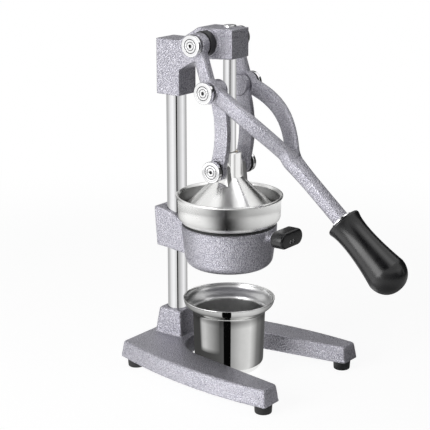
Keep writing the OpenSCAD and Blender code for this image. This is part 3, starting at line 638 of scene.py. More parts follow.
# %% [markdown]
# ## Lamps and world
#
# One large soft lamp stands on the left and models the castings, and a weak one in
# front on the right lifts their dark sides. A larger lamp gives softer shadows, which
# suits enamel. The world adds a little even light, but whatever sees it directly or
# in a reflection sees white.

# %% Lamps and world
TARGET = (0, 0, 0.22)
WORLD_LIGHT, WORLD_SEEN = 0.2, 1.0


def soft_lamp(name, place, size, power):
    """Rectangular lamp at a place, turned towards the middle of the press."""
    lamp = bpy.data.lights.new(name, "AREA")
    lamp.shape = "RECTANGLE"
    lamp.size, lamp.size_y = size
    lamp.energy = power
    obj = bpy.data.objects.new(name, lamp)
    obj.location = place
    obj.rotation_euler = (Vector(TARGET) - Vector(place)).to_track_quat("-Z", "Y").to_euler()
    bpy.context.scene.collection.objects.link(obj)


soft_lamp("key", (-1.6, 0.3, 0.55), (1.0, 1.1), 15)
soft_lamp("fill", (0.5, -1.8, 0.7), (0.8, 0.8), 1)

world = bpy.data.worlds.new("studio")
world.use_nodes = True
bpy.context.scene.world = world
tree = world.node_tree
tree.nodes.clear()
strength = tree.nodes.new("ShaderNodeMapRange")
strength.inputs["To Min"].default_value = WORLD_LIGHT
strength.inputs["To Max"].default_value = WORLD_SEEN
tree.links.new(seen_ray(tree), strength.inputs["Value"])
sky = tree.nodes.new("ShaderNodeBackground")
sky.inputs["Color"].default_value = (1, 1, 1, 1)
tree.links.new(strength.outputs["Result"], sky.inputs["Strength"])
tree.links.new(sky.outputs[0], tree.nodes.new("ShaderNodeOutputWorld").inputs["Surface"])
bpy.context.scene.view_settings.view_transform = "Standard"
print("lamps:", len(bpy.data.lights))

# %% [markdown]
# ## Cards for reflections
#
# Polished metal only looks like metal when it has something dark to show. More lamps
# would give it bright spots, but no dark. So light and dark cards stand out of view,
# as in a photographer's studio. They are seen only in reflections: they cast no shadow
# and light nothing matt. Because the camera looks down, an upright polished wall shows
# the floor in front of it, so some of the cards lie on the floor.

# %% Cards in the room
ACROSS = 49
CARD_LIFT = 0.6 * MM


def card(name, rows, levels):
    """Card that only reflections show: rows of points, each with as many across. The
    levels are its brightness along a row, blended in between; one list serves every
    row, or each row has its own."""
    count = len(rows) // ACROSS
    faces = [(r * ACROSS + i, r * ACROSS + i + 1, (r + 1) * ACROSS + i + 1, (r + 1) * ACROSS + i)
             for r in range(count - 1) for i in range(ACROSS - 1)]
    finish, tree, surface_socket = empty_material(name)
    glow = tree.nodes.new("ShaderNodeEmission")
    shade = tree.nodes.new("ShaderNodeAttribute")
    shade.attribute_name = "shade"
    tree.links.new(shade.outputs["Color"], glow.inputs["Color"])
    tree.links.new(glow.outputs[0], surface_socket)
    obj = stage_mesh(name, rows, faces, finish)
    obj.visible_camera = False
    obj.visible_diffuse = False
    obj.visible_shadow = False
    obj.visible_transmission = False
    stops = np.linspace(0, 1, ACROSS)
    levels = np.atleast_2d(np.asarray(levels, float))
    along = np.array([np.interp(stops, np.linspace(0, 1, row.size), row) for row in levels])
    colour = np.ones((count, ACROSS, 4))
    colour[..., :3] = np.broadcast_to(along, (count, ACROSS))[..., None]
    layer = obj.data.color_attributes.new("shade", "FLOAT_COLOR", "POINT")
    layer.data.foreach_set("color", colour.ravel())


def bearing(azimuth):
    """Unit vector on the floor: 0 degrees is straight in front, positive to the left."""
    a = np.radians(azimuth)
    return np.array([-np.sin(a), -np.cos(a), 0.0])


def upright_card(name, azimuths, distance, heights, levels, centre=(0, 0, 0)):
    """Upright card on an arc round an upright axis, between two azimuths. The
    distance may change with the height."""
    stops = np.linspace(*azimuths, ACROSS)
    rows = zip(np.broadcast_to(distance, len(heights)), heights)
    card(name, [bearing(a) * far + np.add(centre, (0, 0, h)) for far, h in rows for a in stops], levels)


def lying_card(name, azimuths, distances, levels):
    """Card on the floor: a slice of a ring round the press."""
    stops = np.linspace(*azimuths, ACROSS)
    card(name, [bearing(a) * d + (0, 0, CARD_LIFT) for d in distances for a in stops], levels)


FRONT, RIGHT, BACK = (112, -40), (-40, -100), (160, 220)
front_levels = np.array((1.0, 0.75, 0.5, 0.35, 0.25, 0.15, 0.12, 0.12))
near_levels = np.array((1.9, 1.9, 1.6, 0.9, 0.4, 0.3, 0.25, 0.2))
holder_levels = np.array((1.35, 1.15, 0.95, 0.8, 0.7, 0.65, 0.55, 0.4))
back_levels = (0.9, 0.3, 0.3, 0.6)
lying_card("front floor card", FRONT, (0.13, 0.3, 0.45, 0.8, 1.1, 2.4),
           [near_levels, near_levels, holder_levels, holder_levels, front_levels, front_levels])
upright_card("front card", FRONT, 2.4, (0.0, 0.9), front_levels)
lying_card("left bright floor", (95, 140), (0.13, 0.3, 0.4, 0.7, 0.9),
           np.outer((1.4, 1.5, 1.9, 1.8, 1.2), (1.2, 1.2, 0.9, 0.7)))
upright_card("low left card", (100, 150), 0.9, (0.0, 0.064, 0.076, 0.115),
             np.outer((0.36, 0.38, 1.4, 1.3), (1.6, 2.2, 2.1, 1.6)))
upright_card("right dark card", RIGHT, 1.2, (0.0, 0.9), (0.1, 0.03, 0.02, 0.03))
lying_card("right dark floor", RIGHT, (0.16, 0.3, 0.45, 0.9, 1.0, 1.2),
           np.outer((0.03, 0.1, 0.55, 0.4, 0.05, 0.03), (1.0, 0.8, 0.6, 0.4)))
upright_card("back card", BACK, 1.3, (0.0, 0.8), back_levels)
lying_card("back floor", BACK, (0.35, 1.3), back_levels)
upright_card("back right card", (-105, -150), 1.5, (0.0, 0.5, 0.75, 1.4),
             ((0.1, 0.15, 0.9, 1.2), (0.1, 0.15, 0.9, 1.2), (0.05, 0.06, 0.15, 0.5),
              (0.05, 0.06, 0.1, 0.4)))
upright_card("high soft light", (25, -55), (0.95, 0.45), (1.25, 1.75), (0.6, 2.2, 2.4, 2.2, 0.6))
upright_card("high black card", (95, 35), (1.1, 0.6), (1.0, 1.7), 0.02)
card("overhead card", [(x, y, 1.75) for y in (-0.45, 0.1) for x in np.linspace(-0.48, -0.12, ACROSS)],
     (0.9, 0.1, 0.02, 0.1, 0.9))

# %% [markdown]
# ## Close cards
#
# Polished pieces stand close to each other, so they would show little but their
# neighbours. Narrow cards close round the upright ones give each a plain picture
# instead. Rods get a light tone with one thin dark line down the middle, and the
# sleeve a light tone alone. A low card under the bowl's rim gives its wall a broad
# soft dark band. The cup gets a window and a dark wall on its left, a thin black
# line, and a soft light to its right.
#
# The catch is that these cards stay where they are when the press moves, and only a
# render has them. No other cell needs this one: without it the polished pieces show
# plainer reflections.

# %% Close cards round rods, sleeve, bowl and cup
ROD_LEFT = (0.6, 0.98, 0.85, 0.5, 0.45, 0.45, 0.42)
ROD_RIGHT = (0.35, 0.65, 0.95, 0.62, 0.4, 0.35, 0.35)
ROD_BACK = (0.4, 0.9, 1.0, 0.3, 1.0, 0.9, 0.4)
for name, place, radius, heights in (("column tent", (0, 0.082, 0), 0.0137, (0.067, 0.3445)),
                                     ("rod tent", (0, 0, 0), 0.0091, (0.2835, 0.396))):
    upright_card(name + " left", (55.5, 172), radius, heights, ROD_LEFT, place)
    upright_card(name + " line", (48, 55.5), radius, heights, 0.0, place)
    upright_card(name + " right", (48, -66), radius, heights, ROD_RIGHT, place)
    upright_card(name + " back", (172, 294), radius, heights, ROD_BACK, place)
upright_card("sleeve tent", (46, -45), 0.0158, (0.2515, 0.2832),
             (1.1, 1.1, 0.95, 0.45, 1.0, 1.0, 1.0, 1.05, 1.05, 0.9, 0.7, 0.5, 0.4, 0.4))

BOWL_SIDE, BAND_MIDDLE, BAND_WIDTH = (150, -55), 56.5, 23
azimuth = np.linspace(*BOWL_SIDE, ACROSS)
soft_band = 1 - np.exp(-((azimuth - BAND_MIDDLE) / BAND_WIDTH) ** 2)
sides = np.interp(azimuth, (-55, -15, 20, 60, 110, 125, 150), (0.5, 1.0, 0.9, 1.1, 1.3, 1.0, 0.3))
upright_card("bowl tent", BOWL_SIDE, 0.0654, (0.19, 0.2, 0.2258),
             np.outer((0.5, 0.7, 1.4), soft_band * sides))

AROUND_CUP = (0.0492, 0.0492, 0.0492, 0.0625), (0.004, 0.066, 0.0745, 0.0935)
dark_side = np.array((0.1, 0.07, 0.06, 0.06, 0.05))
dark_mouth = np.array((0.75, 0.65, 0.4, 0.2, 0.1))
window = np.array((0.12, 0.25, 0.38, 0.5, 0.65, 0.6, 0.08))
light_side = np.array((0.36, 0.65, 0.8, 0.22, 0.1, 0.1, 0.15))
light_mouth = np.array((0.8, 0.85, 0.7, 0.45, 0.3, 0.2, 0.2))
upright_card("cup dark side", (63, 178), *AROUND_CUP, (dark_side, dark_side, 0.6 * dark_side, dark_mouth))
upright_card("cup window", (70, 113), 0.0486, (0.032, 0.038, 0.07, 0.078),
             (0.1 * window + 0.07, window, window, 0.1 * window + 0.07))
upright_card("cup black line", (50.5, 63), *AROUND_CUP, 0.002)
upright_card("cup light side", (50.5, -60), *AROUND_CUP,
             (light_side, light_side, 0.5 * light_side, light_mouth))
upright_card("cup back", (178, 300), *AROUND_CUP, (0.05, 0.5, 0.9, 0.6, 0.2))

# %% [markdown]
# ## Cast skins
#
# A sand casting has no knife edges: every corner is a little round and every inner
# corner has a fillet. The shape of each casting is already right in the engineering
# model, so a copy of its surface, or a set of closed shells that overlap, is wrapped
# in one even skin of small quads, and a few passes of smoothing then round it by
# about the real amount. Bevels would have to be found edge by edge instead.

# %% Skin and smoothing
SKIN_WELD = 1e-5


def remeshed(obj, voxel):
    """Replaces the mesh by one closed skin of quads, a voxel in size."""
    change = obj.modifiers.new("skin", "REMESH")
    change.mode = "VOXEL"
    change.voxel_size = voxel
    change.adaptivity = 0.0
    evaluated = obj.evaluated_get(bpy.context.evaluated_depsgraph_get())
    skin = bpy.data.meshes.new_from_object(evaluated)
    obj.modifiers.clear()
    old = obj.data
    obj.data = skin
    bpy.data.meshes.remove(old)


def relaxed(obj, passes, amount=0.5):
    """Laplacian smoothing: in each pass every point moves part of the way to the mean
    of its neighbours, all points at once."""
    mesh = obj.data
    points = np.empty(len(mesh.vertices) * 3)
    mesh.vertices.foreach_get("co", points)
    points = points.reshape(-1, 3)
    edges = np.empty(len(mesh.edges) * 2, int)
    mesh.edges.foreach_get("vertices", edges)
    a, b = edges.reshape(-1, 2).T
    size = len(points)
    count = np.bincount(a, minlength=size) + np.bincount(b, minlength=size)
    for _ in range(passes):
        total = np.stack([np.bincount(a, points[b, k], size) + np.bincount(b, points[a, k], size)
                          for k in range(3)], -1)
        points += amount * (total / np.maximum(count, 1)[:, None] - points)
    mesh.vertices.foreach_set("co", points.ravel())
    mesh.update()
    mesh.shade_smooth()


def copy_of(node):
    """New object with a welded copy of a CAD node's mesh."""
    obj = bpy.data.objects.new(node + "_skin", nodes[node].data.copy())
    bpy.context.scene.collection.objects.link(obj)
    tidy_mesh(obj, SKIN_WELD)
    return obj


def joined(name, parts):
    """One object from several, with all their faces."""
    work = bmesh.new()
    for part in parts:
        work.from_mesh(part.data)
        bpy.data.objects.remove(part)
    mesh = bpy.data.meshes.new(name)
    work.to_mesh(mesh)
    work.free()
    obj = bpy.data.objects.new(name, mesh)
    bpy.context.scene.collection.objects.link(obj)
    return obj


for node, voxel, passes in (("base_casting", 1.15, 4), ("holder_casting", 0.95, 4),
                            ("head_casting", 0.8, 3), ("link_left", 0.6, 5), ("link_right", 0.6, 5)):
    skin = copy_of(node)
    remeshed(skin, voxel * MM)
    relaxed(skin, passes)
    dress(skin, node, enamel)
    print(node, "skin:", len(skin.data.polygons), "quads")

# %% [markdown]
# ## The lever
#
# Two arms come down from the elbows, bow outwards and join into one shank. Each is a
# bar: a soft square carried along a path. The path is a cubic curve in the side view,
# then a straight line to the grip. It could be drawn as a curve object with a bevel,
# but its section has to change along the way, and a grid does that with two arrays.

# %% Lever path
PIVOT = np.array([20.2, 415.0])
ELBOW = np.array([1.8, 361.0])
FORK = ELBOW + (-94.0, -78.0)
ARM_PULLS = ELBOW + (-32, -8), ELBOW + (-72, -38)
SHANK_ANGLE = np.radians(40.6)
SHANK_DIRECTION = np.array([-np.cos(SHANK_ANGLE), -np.sin(SHANK_ANGLE)])
SHANK_LENGTH = 91.0
COLLAR = FORK + SHANK_LENGTH * SHANK_DIRECTION
HUB_IN, HUB_OUT, HUB_R = 29.6, 42.6, 14.0
ARM_MIDDLE, ARM_BOW = (HUB_IN + HUB_OUT) / 2, 6.0
BAR_POINTS, BAR_SOFTNESS = 40, 0.6


def lever_path(t):
    """Centre line in the side view as (y, z): a cubic Bezier curve for t in 0..1, then
    straight along the shank for t in 1..2."""
    t = np.asarray(t, float)
    straight = np.clip(t[:, None] - 1, 0, None) * SHANK_LENGTH * SHANK_DIRECTION
    return cubic((ELBOW, *ARM_PULLS, FORK), np.clip(t, 0, 1)) + straight


def bar(name, t, x, half_width, half_depth):
    """Closed bar: at each t a soft square stands square to the path, as wide and as
    deep as its halves say there, and x beside the middle."""
    line = lever_path(t)
    ahead, behind = lever_path(t + 0.05), lever_path(np.maximum(t - 0.05, 0))
    run = (ahead - behind) / np.linalg.norm(ahead - behind, axis=1)[:, None]
    across, up = soft_square(BAR_POINTS, BAR_SOFTNESS)
    x, width, depth = (np.broadcast_to(v, t.shape)[:, None] for v in (x, half_width, half_depth))
    return closed_tube(name, np.stack([x + width * across,
                                       line[:, :1] - run[:, 1:] * depth * up,
                                       line[:, 1:] + run[:, :1] * depth * up], -1))


def arm_middle(t):
    """How far an arm's centre stands from the middle: it runs in to 0 by a power of t,
    and a sine wave bows it outwards on the way."""
    return ARM_MIDDLE * (1 - t ** 2.5) + ARM_BOW * np.sin(np.pi * t) ** 2


print("lever from", ELBOW, "to", COLLAR.round(1))

# %% [markdown]
# ## The lever's shells
#
# The bosses at the pivots are turned, the short arms between them are straight bars,
# and a tang runs on into the grip. All the shells overlap, and one skin wraps them,
# which also fills the crotch of the fork smoothly, as the real casting's fillet does.

# %% Lever shells
ARM_HALF_WIDTH, ARM_HALF_DEPTH = 5.8, 10.0
SHORT_HALF_WIDTH, SHORT_HALF_DEPTH, SHORT_SOFTNESS, SHORT_RINGS = 6.0, 8.5, 0.45, 12
SHANK_HALF, SHANK_START = 9.0, 0.91
TANG_R, TANG_BACK, TANG_FRONT = 6.5, -8, 76


def short_arm(side):
    """Straight bar from the pivot's boss to the elbow's, on one side."""
    span = ELBOW - PIVOT
    run = span / np.linalg.norm(span)
    normal = np.array([-run[1], run[0]]) * SHORT_HALF_DEPTH
    across, up = soft_square(BAR_POINTS, SHORT_SOFTNESS)
    x = np.broadcast_to(side * ARM_MIDDLE + across * SHORT_HALF_WIDTH, (SHORT_RINGS, BAR_POINTS))
    line = PIVOT + np.linspace(0, 1, SHORT_RINGS)[:, None] * span
    rings = np.stack([x, line[:, :1] + normal[0] * up, line[:, 1:] + normal[1] * up], -1)
    return closed_tube("short arm", rings)


def lever_shells():
    """Arms, bosses and short arms on both sides, then the shank, which starts as wide
    as the fork and narrows by a fifth power, and the tang."""
    t = np.linspace(0, 1.0, 60)
    parts = []
    for side in (-1, 1):
        parts.append(bar("arm", t, side * arm_middle(t), ARM_HALF_WIDTH, ARM_HALF_DEPTH))
        for centre, radius in ((PIVOT, HUB_R), (ELBOW, HUB_R + 0.5)):
            profile = rod_profile(radius, HUB_IN, HUB_OUT, (1.0, 1.6))
            parts.append(turned("hub", profile * MM, np.array([0, *centre]) * MM, (side, 0, 0)))
        parts.append(short_arm(side))
    t = np.linspace(SHANK_START, 2.0, 80)
    w = (1 - (t - SHANK_START) / (2 - SHANK_START)) ** 5
    fork_half = float(arm_middle(SHANK_START)) + ARM_HALF_WIDTH
    parts.append(bar("shank", t, 0.0, SHANK_HALF + (fork_half - SHANK_HALF) * w,
                     SHANK_HALF + (ARM_HALF_DEPTH - SHANK_HALF) * w))
    tang = np.array([(0, TANG_BACK), (TANG_R, TANG_BACK), (TANG_R, TANG_FRONT), (0, TANG_FRONT)])
    parts.append(turned("tang", tang * MM, np.array([0, *COLLAR]) * MM, (0, *SHANK_DIRECTION), turns=48))
    return parts


lever = joined("lever_skin", lever_shells())
remeshed(lever, 0.75 * MM)
relaxed(lever, 5)
dress(lever, "lever_casting", enamel)
print("lever skin:", len(lever.data.polygons), "quads")

# %% [markdown]
# ## Column and guide rod
#
# Both are bright drawn bar, cut off and slightly rounded at the ends. A cylinder with
# a bevel would do, but small rounded corners matter here, because a polished edge
# shows as a thin bright line, and a profile sets them exactly.

# %% Column and guide rod
for node, name, edge in (("column", "column_surface", 1.2), ("guide_rod", "rod_surface", 1.0)):
    low, high = box_mm(node)
    profile = rod_profile((high[0] - low[0]) / 2, low[2], high[2], (edge, edge))
    centre = middle(node) * (1, 1, 0) if node == "column" else (0, 0, 0)
    dress(turned(name, profile * MM, centre), node, chrome)
    print(name, "from", low[2].round(1), "to", high[2].round(1), "mm")

# %% [markdown]
# ## Caps and washers
#
# Six thick chrome discs close the pivots, each turned with a waist at its back, two
# ring grooves and a centre hole. The faces in the grooves, the hole and the waist get a
# near-black finish as painted shade, and the narrow slope round the front a duller,
# darker one as a painted dark outline. Black spacers sit inside the upper pair, and
# their black also stands for the deep shade in the gap between lever hub and head.
# Thin washers sit inside the lower pair. They are plain rings, and both sides of a pair
# come from one profile.

# %% Pivot caps
CAP_R, CAP_LENGTH = 13.3, 8.5
CAP_WAIST, CAP_WAIST_LENGTH, CAP_HOLE_R = 2.2, 3.0, 2.2


def pivot_cap(node):
    """Turned disc: each row is (radius, height, rounding), from the back to the hole."""
    low, high = box_mm(node)
    side = np.sign(low[0] + high[0])
    inner = min(abs(low[0]), abs(high[0]))
    r, l, waist, hole = CAP_R, CAP_LENGTH, CAP_R - CAP_WAIST, CAP_HOLE_R
    rows = np.array([
        (0, 0, 0), (waist, 0, 0.3), (waist, CAP_WAIST_LENGTH, 0.3),
        (r, CAP_WAIST_LENGTH + 0.3, 0.5), (r, l, 1.3),
        (r * 0.66, l, 0.1), (r * 0.62, l - 0.8, 0.1), (r * 0.58, l, 0.1),
        (r * 0.41, l, 0.1), (r * 0.375, l - 0.6, 0.1), (r * 0.34, l, 0.1),
        (hole, l, 0.3), (hole, l - 2.0, 0.2), (0, l - 2.9, 0)])
    centre = np.array([side * inner, (low[1] + high[1]) / 2, (low[2] + high[2]) / 2])
    profile = rounded(rows[:, :2], rows[:, 2])
    cap = dress(turned(node + "_turned", profile * MM, centre * MM, (side, 0, 0)), node, chrome)
    spots = (face_middles(cap) / MM - centre) * (side, 1, 1)
    out, depth = np.hypot(spots[:, 1], spots[:, 2]), l - spots[:, 0]
    # Painted shade: the faces in the ring grooves, the centre hole and the waist get the near-black
    # finish.
    groove_shade = (depth > 0.08) & (depth < 3) & (out < 0.68 * r) & (out > 0.3 * r)
    hole_shade = (out < hole + 0.05) & (depth > 0.35)
    waist_shade = (out < r - 1) & (depth > 5)
    second_finish(cap, hollow_shade_black, groove_shade | hole_shade | waist_shade)
    # Painted dark outline: the narrow slope round each cap's front face gets the duller, darker zinc
    # finish.
    return second_finish(cap, zinc_and_rim_shade, (out > 0.925 * r) & (depth > 0.05) & (depth < 1.1))


# The upper spacers' black nylon also stands for painted shade in the gap between the lever hub and the
# head.
for node, bore, edge in (("hub_washers", 7.1, 0.5), ("link_washers", 6.1, 0.15)):
    low, high = box_mm(node)
    corners = np.zeros((len(nodes[node].data.vertices), 3))
    nodes[node].data.vertices.foreach_get("co", corners.ravel())
    inner = np.abs(corners[:, 0]).min() / MM
    profile = ring_profile(bore, (high[2] - low[2]) / 2, inner, high[0], edge)
    centre = np.array([0, low[1] + high[1], low[2] + high[2]]) / 2
    for side, name in ((-1, "_left"), (1, "_right")):
        washer = turned(node + name, profile * MM, centre * MM, (side, 0, 0), turns=96)
        dress(washer, node, nylon, stands_for=side < 0)

caps = [pivot_cap(f"{place}_cap_{side}")
        for place in ("shaft", "elbow", "lower") for side in ("left", "right")]
print("caps:", [c.name for c in caps])

# %% [markdown]
# ## Bowl
#
# The bowl is spun from one sheet: a wall with a rolled bead at the rim, a step down
# into a well, and a spout through the holder. One closed profile goes up the outside
# and down the inside, so the wall keeps its thickness without a Solidify modifier.
# The inside is satin and rougher than the outside, and its darker colour is painted
# shade inside the bowl.

# %% Bowl
BOWL_R, BOWL_WALL, BEAD_R = 63.2, 1.5, 1.6
RIM_Z = box_mm("juice_bowl")[1][2]
SHOULDER_Z, SHOULDER_R, WELL_R = 194.0, 59.0, 51.5
SPOUT_R, SPOUT_FOOT = 9.0, 138


def bowl_profile():
    """Up the outside from the spout, round the rolled bead and down the inside."""
    w = BOWL_WALL
    bead = arc((BOWL_R + BEAD_R - 0.2, RIM_Z - BEAD_R), BEAD_R, -120, 150, 24)
    outside = rounded([(SPOUT_R - w, SPOUT_FOOT), (SPOUT_R, SPOUT_FOOT), (SPOUT_R, 147), (WELL_R, 153),
                       (WELL_R, SHOULDER_Z), (SHOULDER_R - 1.4, SHOULDER_Z), (BOWL_R, SHOULDER_Z + 6),
                       bead[0]],
                      [0, 0.3, 2.0, 3.0, 1.0, 3.0, 4.0, 0])
    inside = rounded([bead[-1], (BOWL_R - w, RIM_Z - BEAD_R - 1), (BOWL_R - w, SHOULDER_Z + 6.6),
                      (SHOULDER_R - 2, SHOULDER_Z + w), (WELL_R - w, SHOULDER_Z + w), (WELL_R - w, 154.5),
                      (SPOUT_R - w, 148.5), (SPOUT_R - w, SPOUT_FOOT)],
                     [0, 0.6, 4.0, 3.0, 1.0, 3.0, 2.0, 0])
    return np.vstack([outside, bead, inside])


bowl = dress(turned("spun_bowl", bowl_profile() * MM, (0, 0, 0), turns=160), "juice_bowl", steel)
below_bead = face_middles(bowl)[:, 2] < (RIM_Z - 2 * BEAD_R) * MM
# Painted shade: the bowl's inside faces get the darker satin steel.
second_finish(bowl, satin_steel_inside_shade, looks_inside(bowl) & below_bead)
print("bowl:", len(bowl.data.polygons), "faces")

# %% [markdown]
# ## Press cone
#
# The cone that pushes the fruit down has a short skirt, a sleeve that slides on the
# guide rod, and two lugs for the links. Cone and sleeve are turned in one piece. The
# lugs are slabs with an outline of their own. They just stand in the cone, because
# the real ones are welded on and a plain seam shows there.

# %% Press cone and lugs
CONE_SLOPE = 1 / np.tan(np.radians(46.0))
APEX_Z = RIM_Z + 37.8
SKIRT_R, SKIRT_HEIGHT, SKIRT_WALL, CONE_WALL = 57.0, 6, 2, 3.89
SLEEVE_R, SLEEVE_TOP, BORE_R, BUSH_R, BUSH_FOOT = 14.5, RIM_Z + 53.8, 10.1, 8.6, 255.4
LUG_R, LUG_IN, LUG_OUT, LUG_EDGE, LUG_SPREAD, LOWER_Z = 11.0, 11.5, 20.5, 0.9, 2, 263.1


def cone_z(r):
    """Height of the cone's outside at a radius: it falls evenly from the apex."""
    return APEX_Z - r * CONE_SLOPE


def press_profile():
    """Up the outside of skirt, cone and sleeve, and down the bore and the inside."""
    skirt_z, inner = cone_z(SKIRT_R), SKIRT_R - SKIRT_WALL
    corners = [(inner, skirt_z - SKIRT_HEIGHT), (SKIRT_R, skirt_z - SKIRT_HEIGHT), (SKIRT_R, skirt_z),
               (SLEEVE_R, cone_z(SLEEVE_R)), (SLEEVE_R, SLEEVE_TOP), (BORE_R, SLEEVE_TOP),
               (BORE_R, BUSH_FOOT), (BUSH_R, BUSH_FOOT), (BUSH_R, cone_z(BUSH_R) - CONE_WALL),
               (inner, cone_z(inner) - CONE_WALL), (inner, skirt_z - SKIRT_HEIGHT)]
    return rounded(corners, [0, 0.8, 3.0, 3.5, 1.4, 0.6, 0.2, 0.2, 0.3, 2.0, 0])


def plate(name, outline, x_in, x_out, edge):
    """Slab across X with the given outline in (y, z) and rounded edges. The outline
    runs anticlockwise and is seen whole from its middle."""
    run = np.roll(outline, -1, 0) - np.roll(outline, 1, 0)
    normal = np.stack([run[:, 1], -run[:, 0]], -1) / np.linalg.norm(run, axis=1)[:, None]
    inset, x = round_edges(x_in, x_out, edge, 6)
    loops = outline - inset[:, None, None] * normal
    x = np.broadcast_to(x[:, None, None], loops.shape[:2] + (1,))
    return closed_tube(name, np.concatenate([x, loops], -1))


def lug_outline():
    """Round top about the pin, and sides that spread a little down to the cone."""
    top = arc((0, LOWER_Z), LUG_R, 0, 180, 33)
    foot = np.array([-LUG_R - LUG_SPREAD, float(cone_z(LUG_OUT + 4))])
    t = np.linspace(0, 1, 10)[1:, None]
    left = top[-1] + t * (foot - top[-1])
    bottom = foot + t * (2 * LUG_R + 2 * LUG_SPREAD, 0)
    right = bottom[-1] + t[:-1] * (top[0] - bottom[-1])
    return np.vstack([top, left, bottom, right])


cone = turned("press_cone", press_profile() * MM, (0, 0, 0), turns=160)
dress(cone, "press_funnel", steel)
for side, name in ((-1, "lug_left"), (1, "lug_right")):
    lug = plate(name, lug_outline(), side * LUG_IN, side * LUG_OUT, side * LUG_EDGE)
    dress(lug, "press_funnel", steel, stands_for=False)
print("press cone:", len(cone.data.polygons), "faces")

# %% [markdown]
# ## Juice cup
#
# The cup is drawn from thin sheet: a flat foot with a round corner, a plain wall and a
# mouth that flares to a thin rolled lip. The flare is a cubic curve, because a plain
# arc there would look like a funnel. The outside is a mirror. The inside is satin, and
# its darker colour is painted shade inside the cup.

# %% Juice cup
CUP_H, CUP_R, CUP_RIM_R, CUP_WALL, CUP_CORNER = 96.0, 45.2, 57.3, 1.2, 18.0
CUP_FLARE, CUP_TAPER, CUP_LIP = 20.0, 1.8, 0.5


def cup_profile():
    """From the axis out along the foot, up the wall and the flare, over the lip, and
    back down the inside."""
    c, w, lip_r = CUP_CORNER, CUP_WALL, CUP_WALL / 2
    corner_centre = (CUP_R - CUP_TAPER - c, c)
    foot = arc(corner_centre, c, -90, 0, 16)
    foot_in = arc(corner_centre, c - w, -90, 0, 16)[::-1]
    flare = cubic([(CUP_R, CUP_H - CUP_FLARE), (CUP_R + 0.24, CUP_H - 0.55 * CUP_FLARE),
                   (CUP_RIM_R - 0.6, CUP_H - 0.6 * CUP_FLARE), (CUP_RIM_R - 0.6, CUP_H - 1.2)],
                  np.linspace(0, 1, 20))
    lip = arc((CUP_RIM_R - lip_r, CUP_H - lip_r), lip_r, -60, 90, 8)
    return np.vstack([[(0, 0)], foot, flare, lip, flare[::-1] + (-w, 0.5), foot_in, [(0, w)]])


cup = dress(turned("spun_cup", cup_profile() * MM, (0, 0, 0), turns=160), "juice_cup", mirror_steel)
below_lip = face_middles(cup)[:, 2] < (CUP_H - CUP_LIP) * MM
# Painted shade: the cup's inside faces get the darker satin steel.
second_finish(cup, cup_steel_inside_shade, looks_inside(cup) & below_lip)
print("cup:", len(cup.data.polygons), "faces")

# %% [markdown]
# ## Grip, collar and feet
#
# The grip is a glossy black moulding that fills the palm: a flared lip, a waist for
# the fingers and a full round end. It turns round the shank's line, with a bright
# collar before it. The feet are rubber pads, each with a recess for its screw. All of
# them are round, so a profile each is enough.

# %% Grip, collar and feet
ALONG = (0, *SHANK_DIRECTION)
GRIP_LENGTH, GRIP_R, GRIP_START = 106.0, 24.3, 3.2
GRIP_WIDEST = 0.74
FOOT_BORE, FOOT_RECESS_R, FOOT_RECESS = 3.1, 5.2, 5


def grip_profile():
    """Rounded lip, a cubic curve for the waist, and an end like a quarter of an
    ellipse whose radius goes with a power of the cosine."""
    r, l = GRIP_R, GRIP_LENGTH
    waist = cubic([(r * 0.87, 4.0), (r * 0.70, 16.0), (r * 0.76, l * 0.42), (r, l * GRIP_WIDEST)],
                  np.linspace(0, 1, 40))
    a = np.radians(np.linspace(3, 90, 32))
    end_length = l * (1 - GRIP_WIDEST) - GRIP_START
    end = np.stack([r * np.maximum(np.cos(a), 0) ** 0.9, l * GRIP_WIDEST + end_length * np.sin(a)], -1)
    lip = rounded([(0, 0), (r * 0.865, 0), (r * 0.885, 2.6), waist[0]], [0, 1.4, 1.2, 0])
    return np.vstack([lip, waist, end]) + (0, GRIP_START)


def foot_profile(radius, top):
    """Recess for the screw, rounded tread and side, closed along the bore."""
    return rounded([(FOOT_BORE, FOOT_RECESS), (FOOT_RECESS_R, FOOT_RECESS), (FOOT_RECESS_R, 0),
                    (radius - 0.8, 0), (radius, top), (FOOT_BORE, top), (FOOT_BORE, FOOT_RECESS)],
                   [0, 0, 0.8, 2.0, 0.6, 0, 0])


collar_middle = np.array([0, *COLLAR]) * MM
dress(turned("moulded_grip", grip_profile() * MM, collar_middle, ALONG), "lever_grip", gloss_black)
profile = ring_profile(6.6, 13.5, 0.1, 3.1, 0.8)
dress(turned("bright_collar", profile * MM, collar_middle, ALONG), "grip_collar", chrome)
for node in ("foot_front_left", "foot_front_right", "foot_rear_left", "foot_rear_right"):
    low, high = box_mm(node)
    profile = foot_profile((high[0] - low[0]) / 2, high[2])
    dress(turned(node + "_turned", profile * MM, middle(node) * (1, 1, 0), turns=64), node, rubber)
print("grip:", GRIP_LENGTH, "mm long")

# %% [markdown]
# ## Knob
#
# The knob on the bowl holder's front is a moulded bar with round ends and two sunk
# screws. A stadium outline is carried from front to back and drawn in at both faces.
# Holes can't be part of such a grid, so two small cylinders are cut out afterwards.

# %% Knob
KNOB_W, KNOB_H, KNOB_DEPTH, KNOB_CORNER = 46.0, 20.5, 18.0, 3.2
RECESS_R, RECESS_DEPTH, RECESS_APART, RECESS_DROP = 2.8, 3.0, 2.9, 3.0
SHARP_ANGLE = 40


def knob_grid():
    """Stadium outline of width w and height h. From front to back it is inset by a
    rounded amount, so the edges are round, and at both faces it closes to a line."""
    a = np.linspace(0, 2 * np.pi, 96, endpoint=False)
    half = (KNOB_W - KNOB_H) / 2
    inset, depth = round_edges(0, KNOB_DEPTH, KNOB_CORNER, 8)
    radius = KNOB_H / 2 - np.concatenate([[KNOB_H / 2], inset, [KNOB_H / 2]])
    depth = np.concatenate([[0], depth, [KNOB_DEPTH]])
    x = np.where(np.cos(a) >= 0, half, -half) + radius[:, None] * np.cos(a)
    z = radius[:, None] * np.sin(a)
    return np.stack([x, -np.broadcast_to(depth[:, None], x.shape), z], -1)


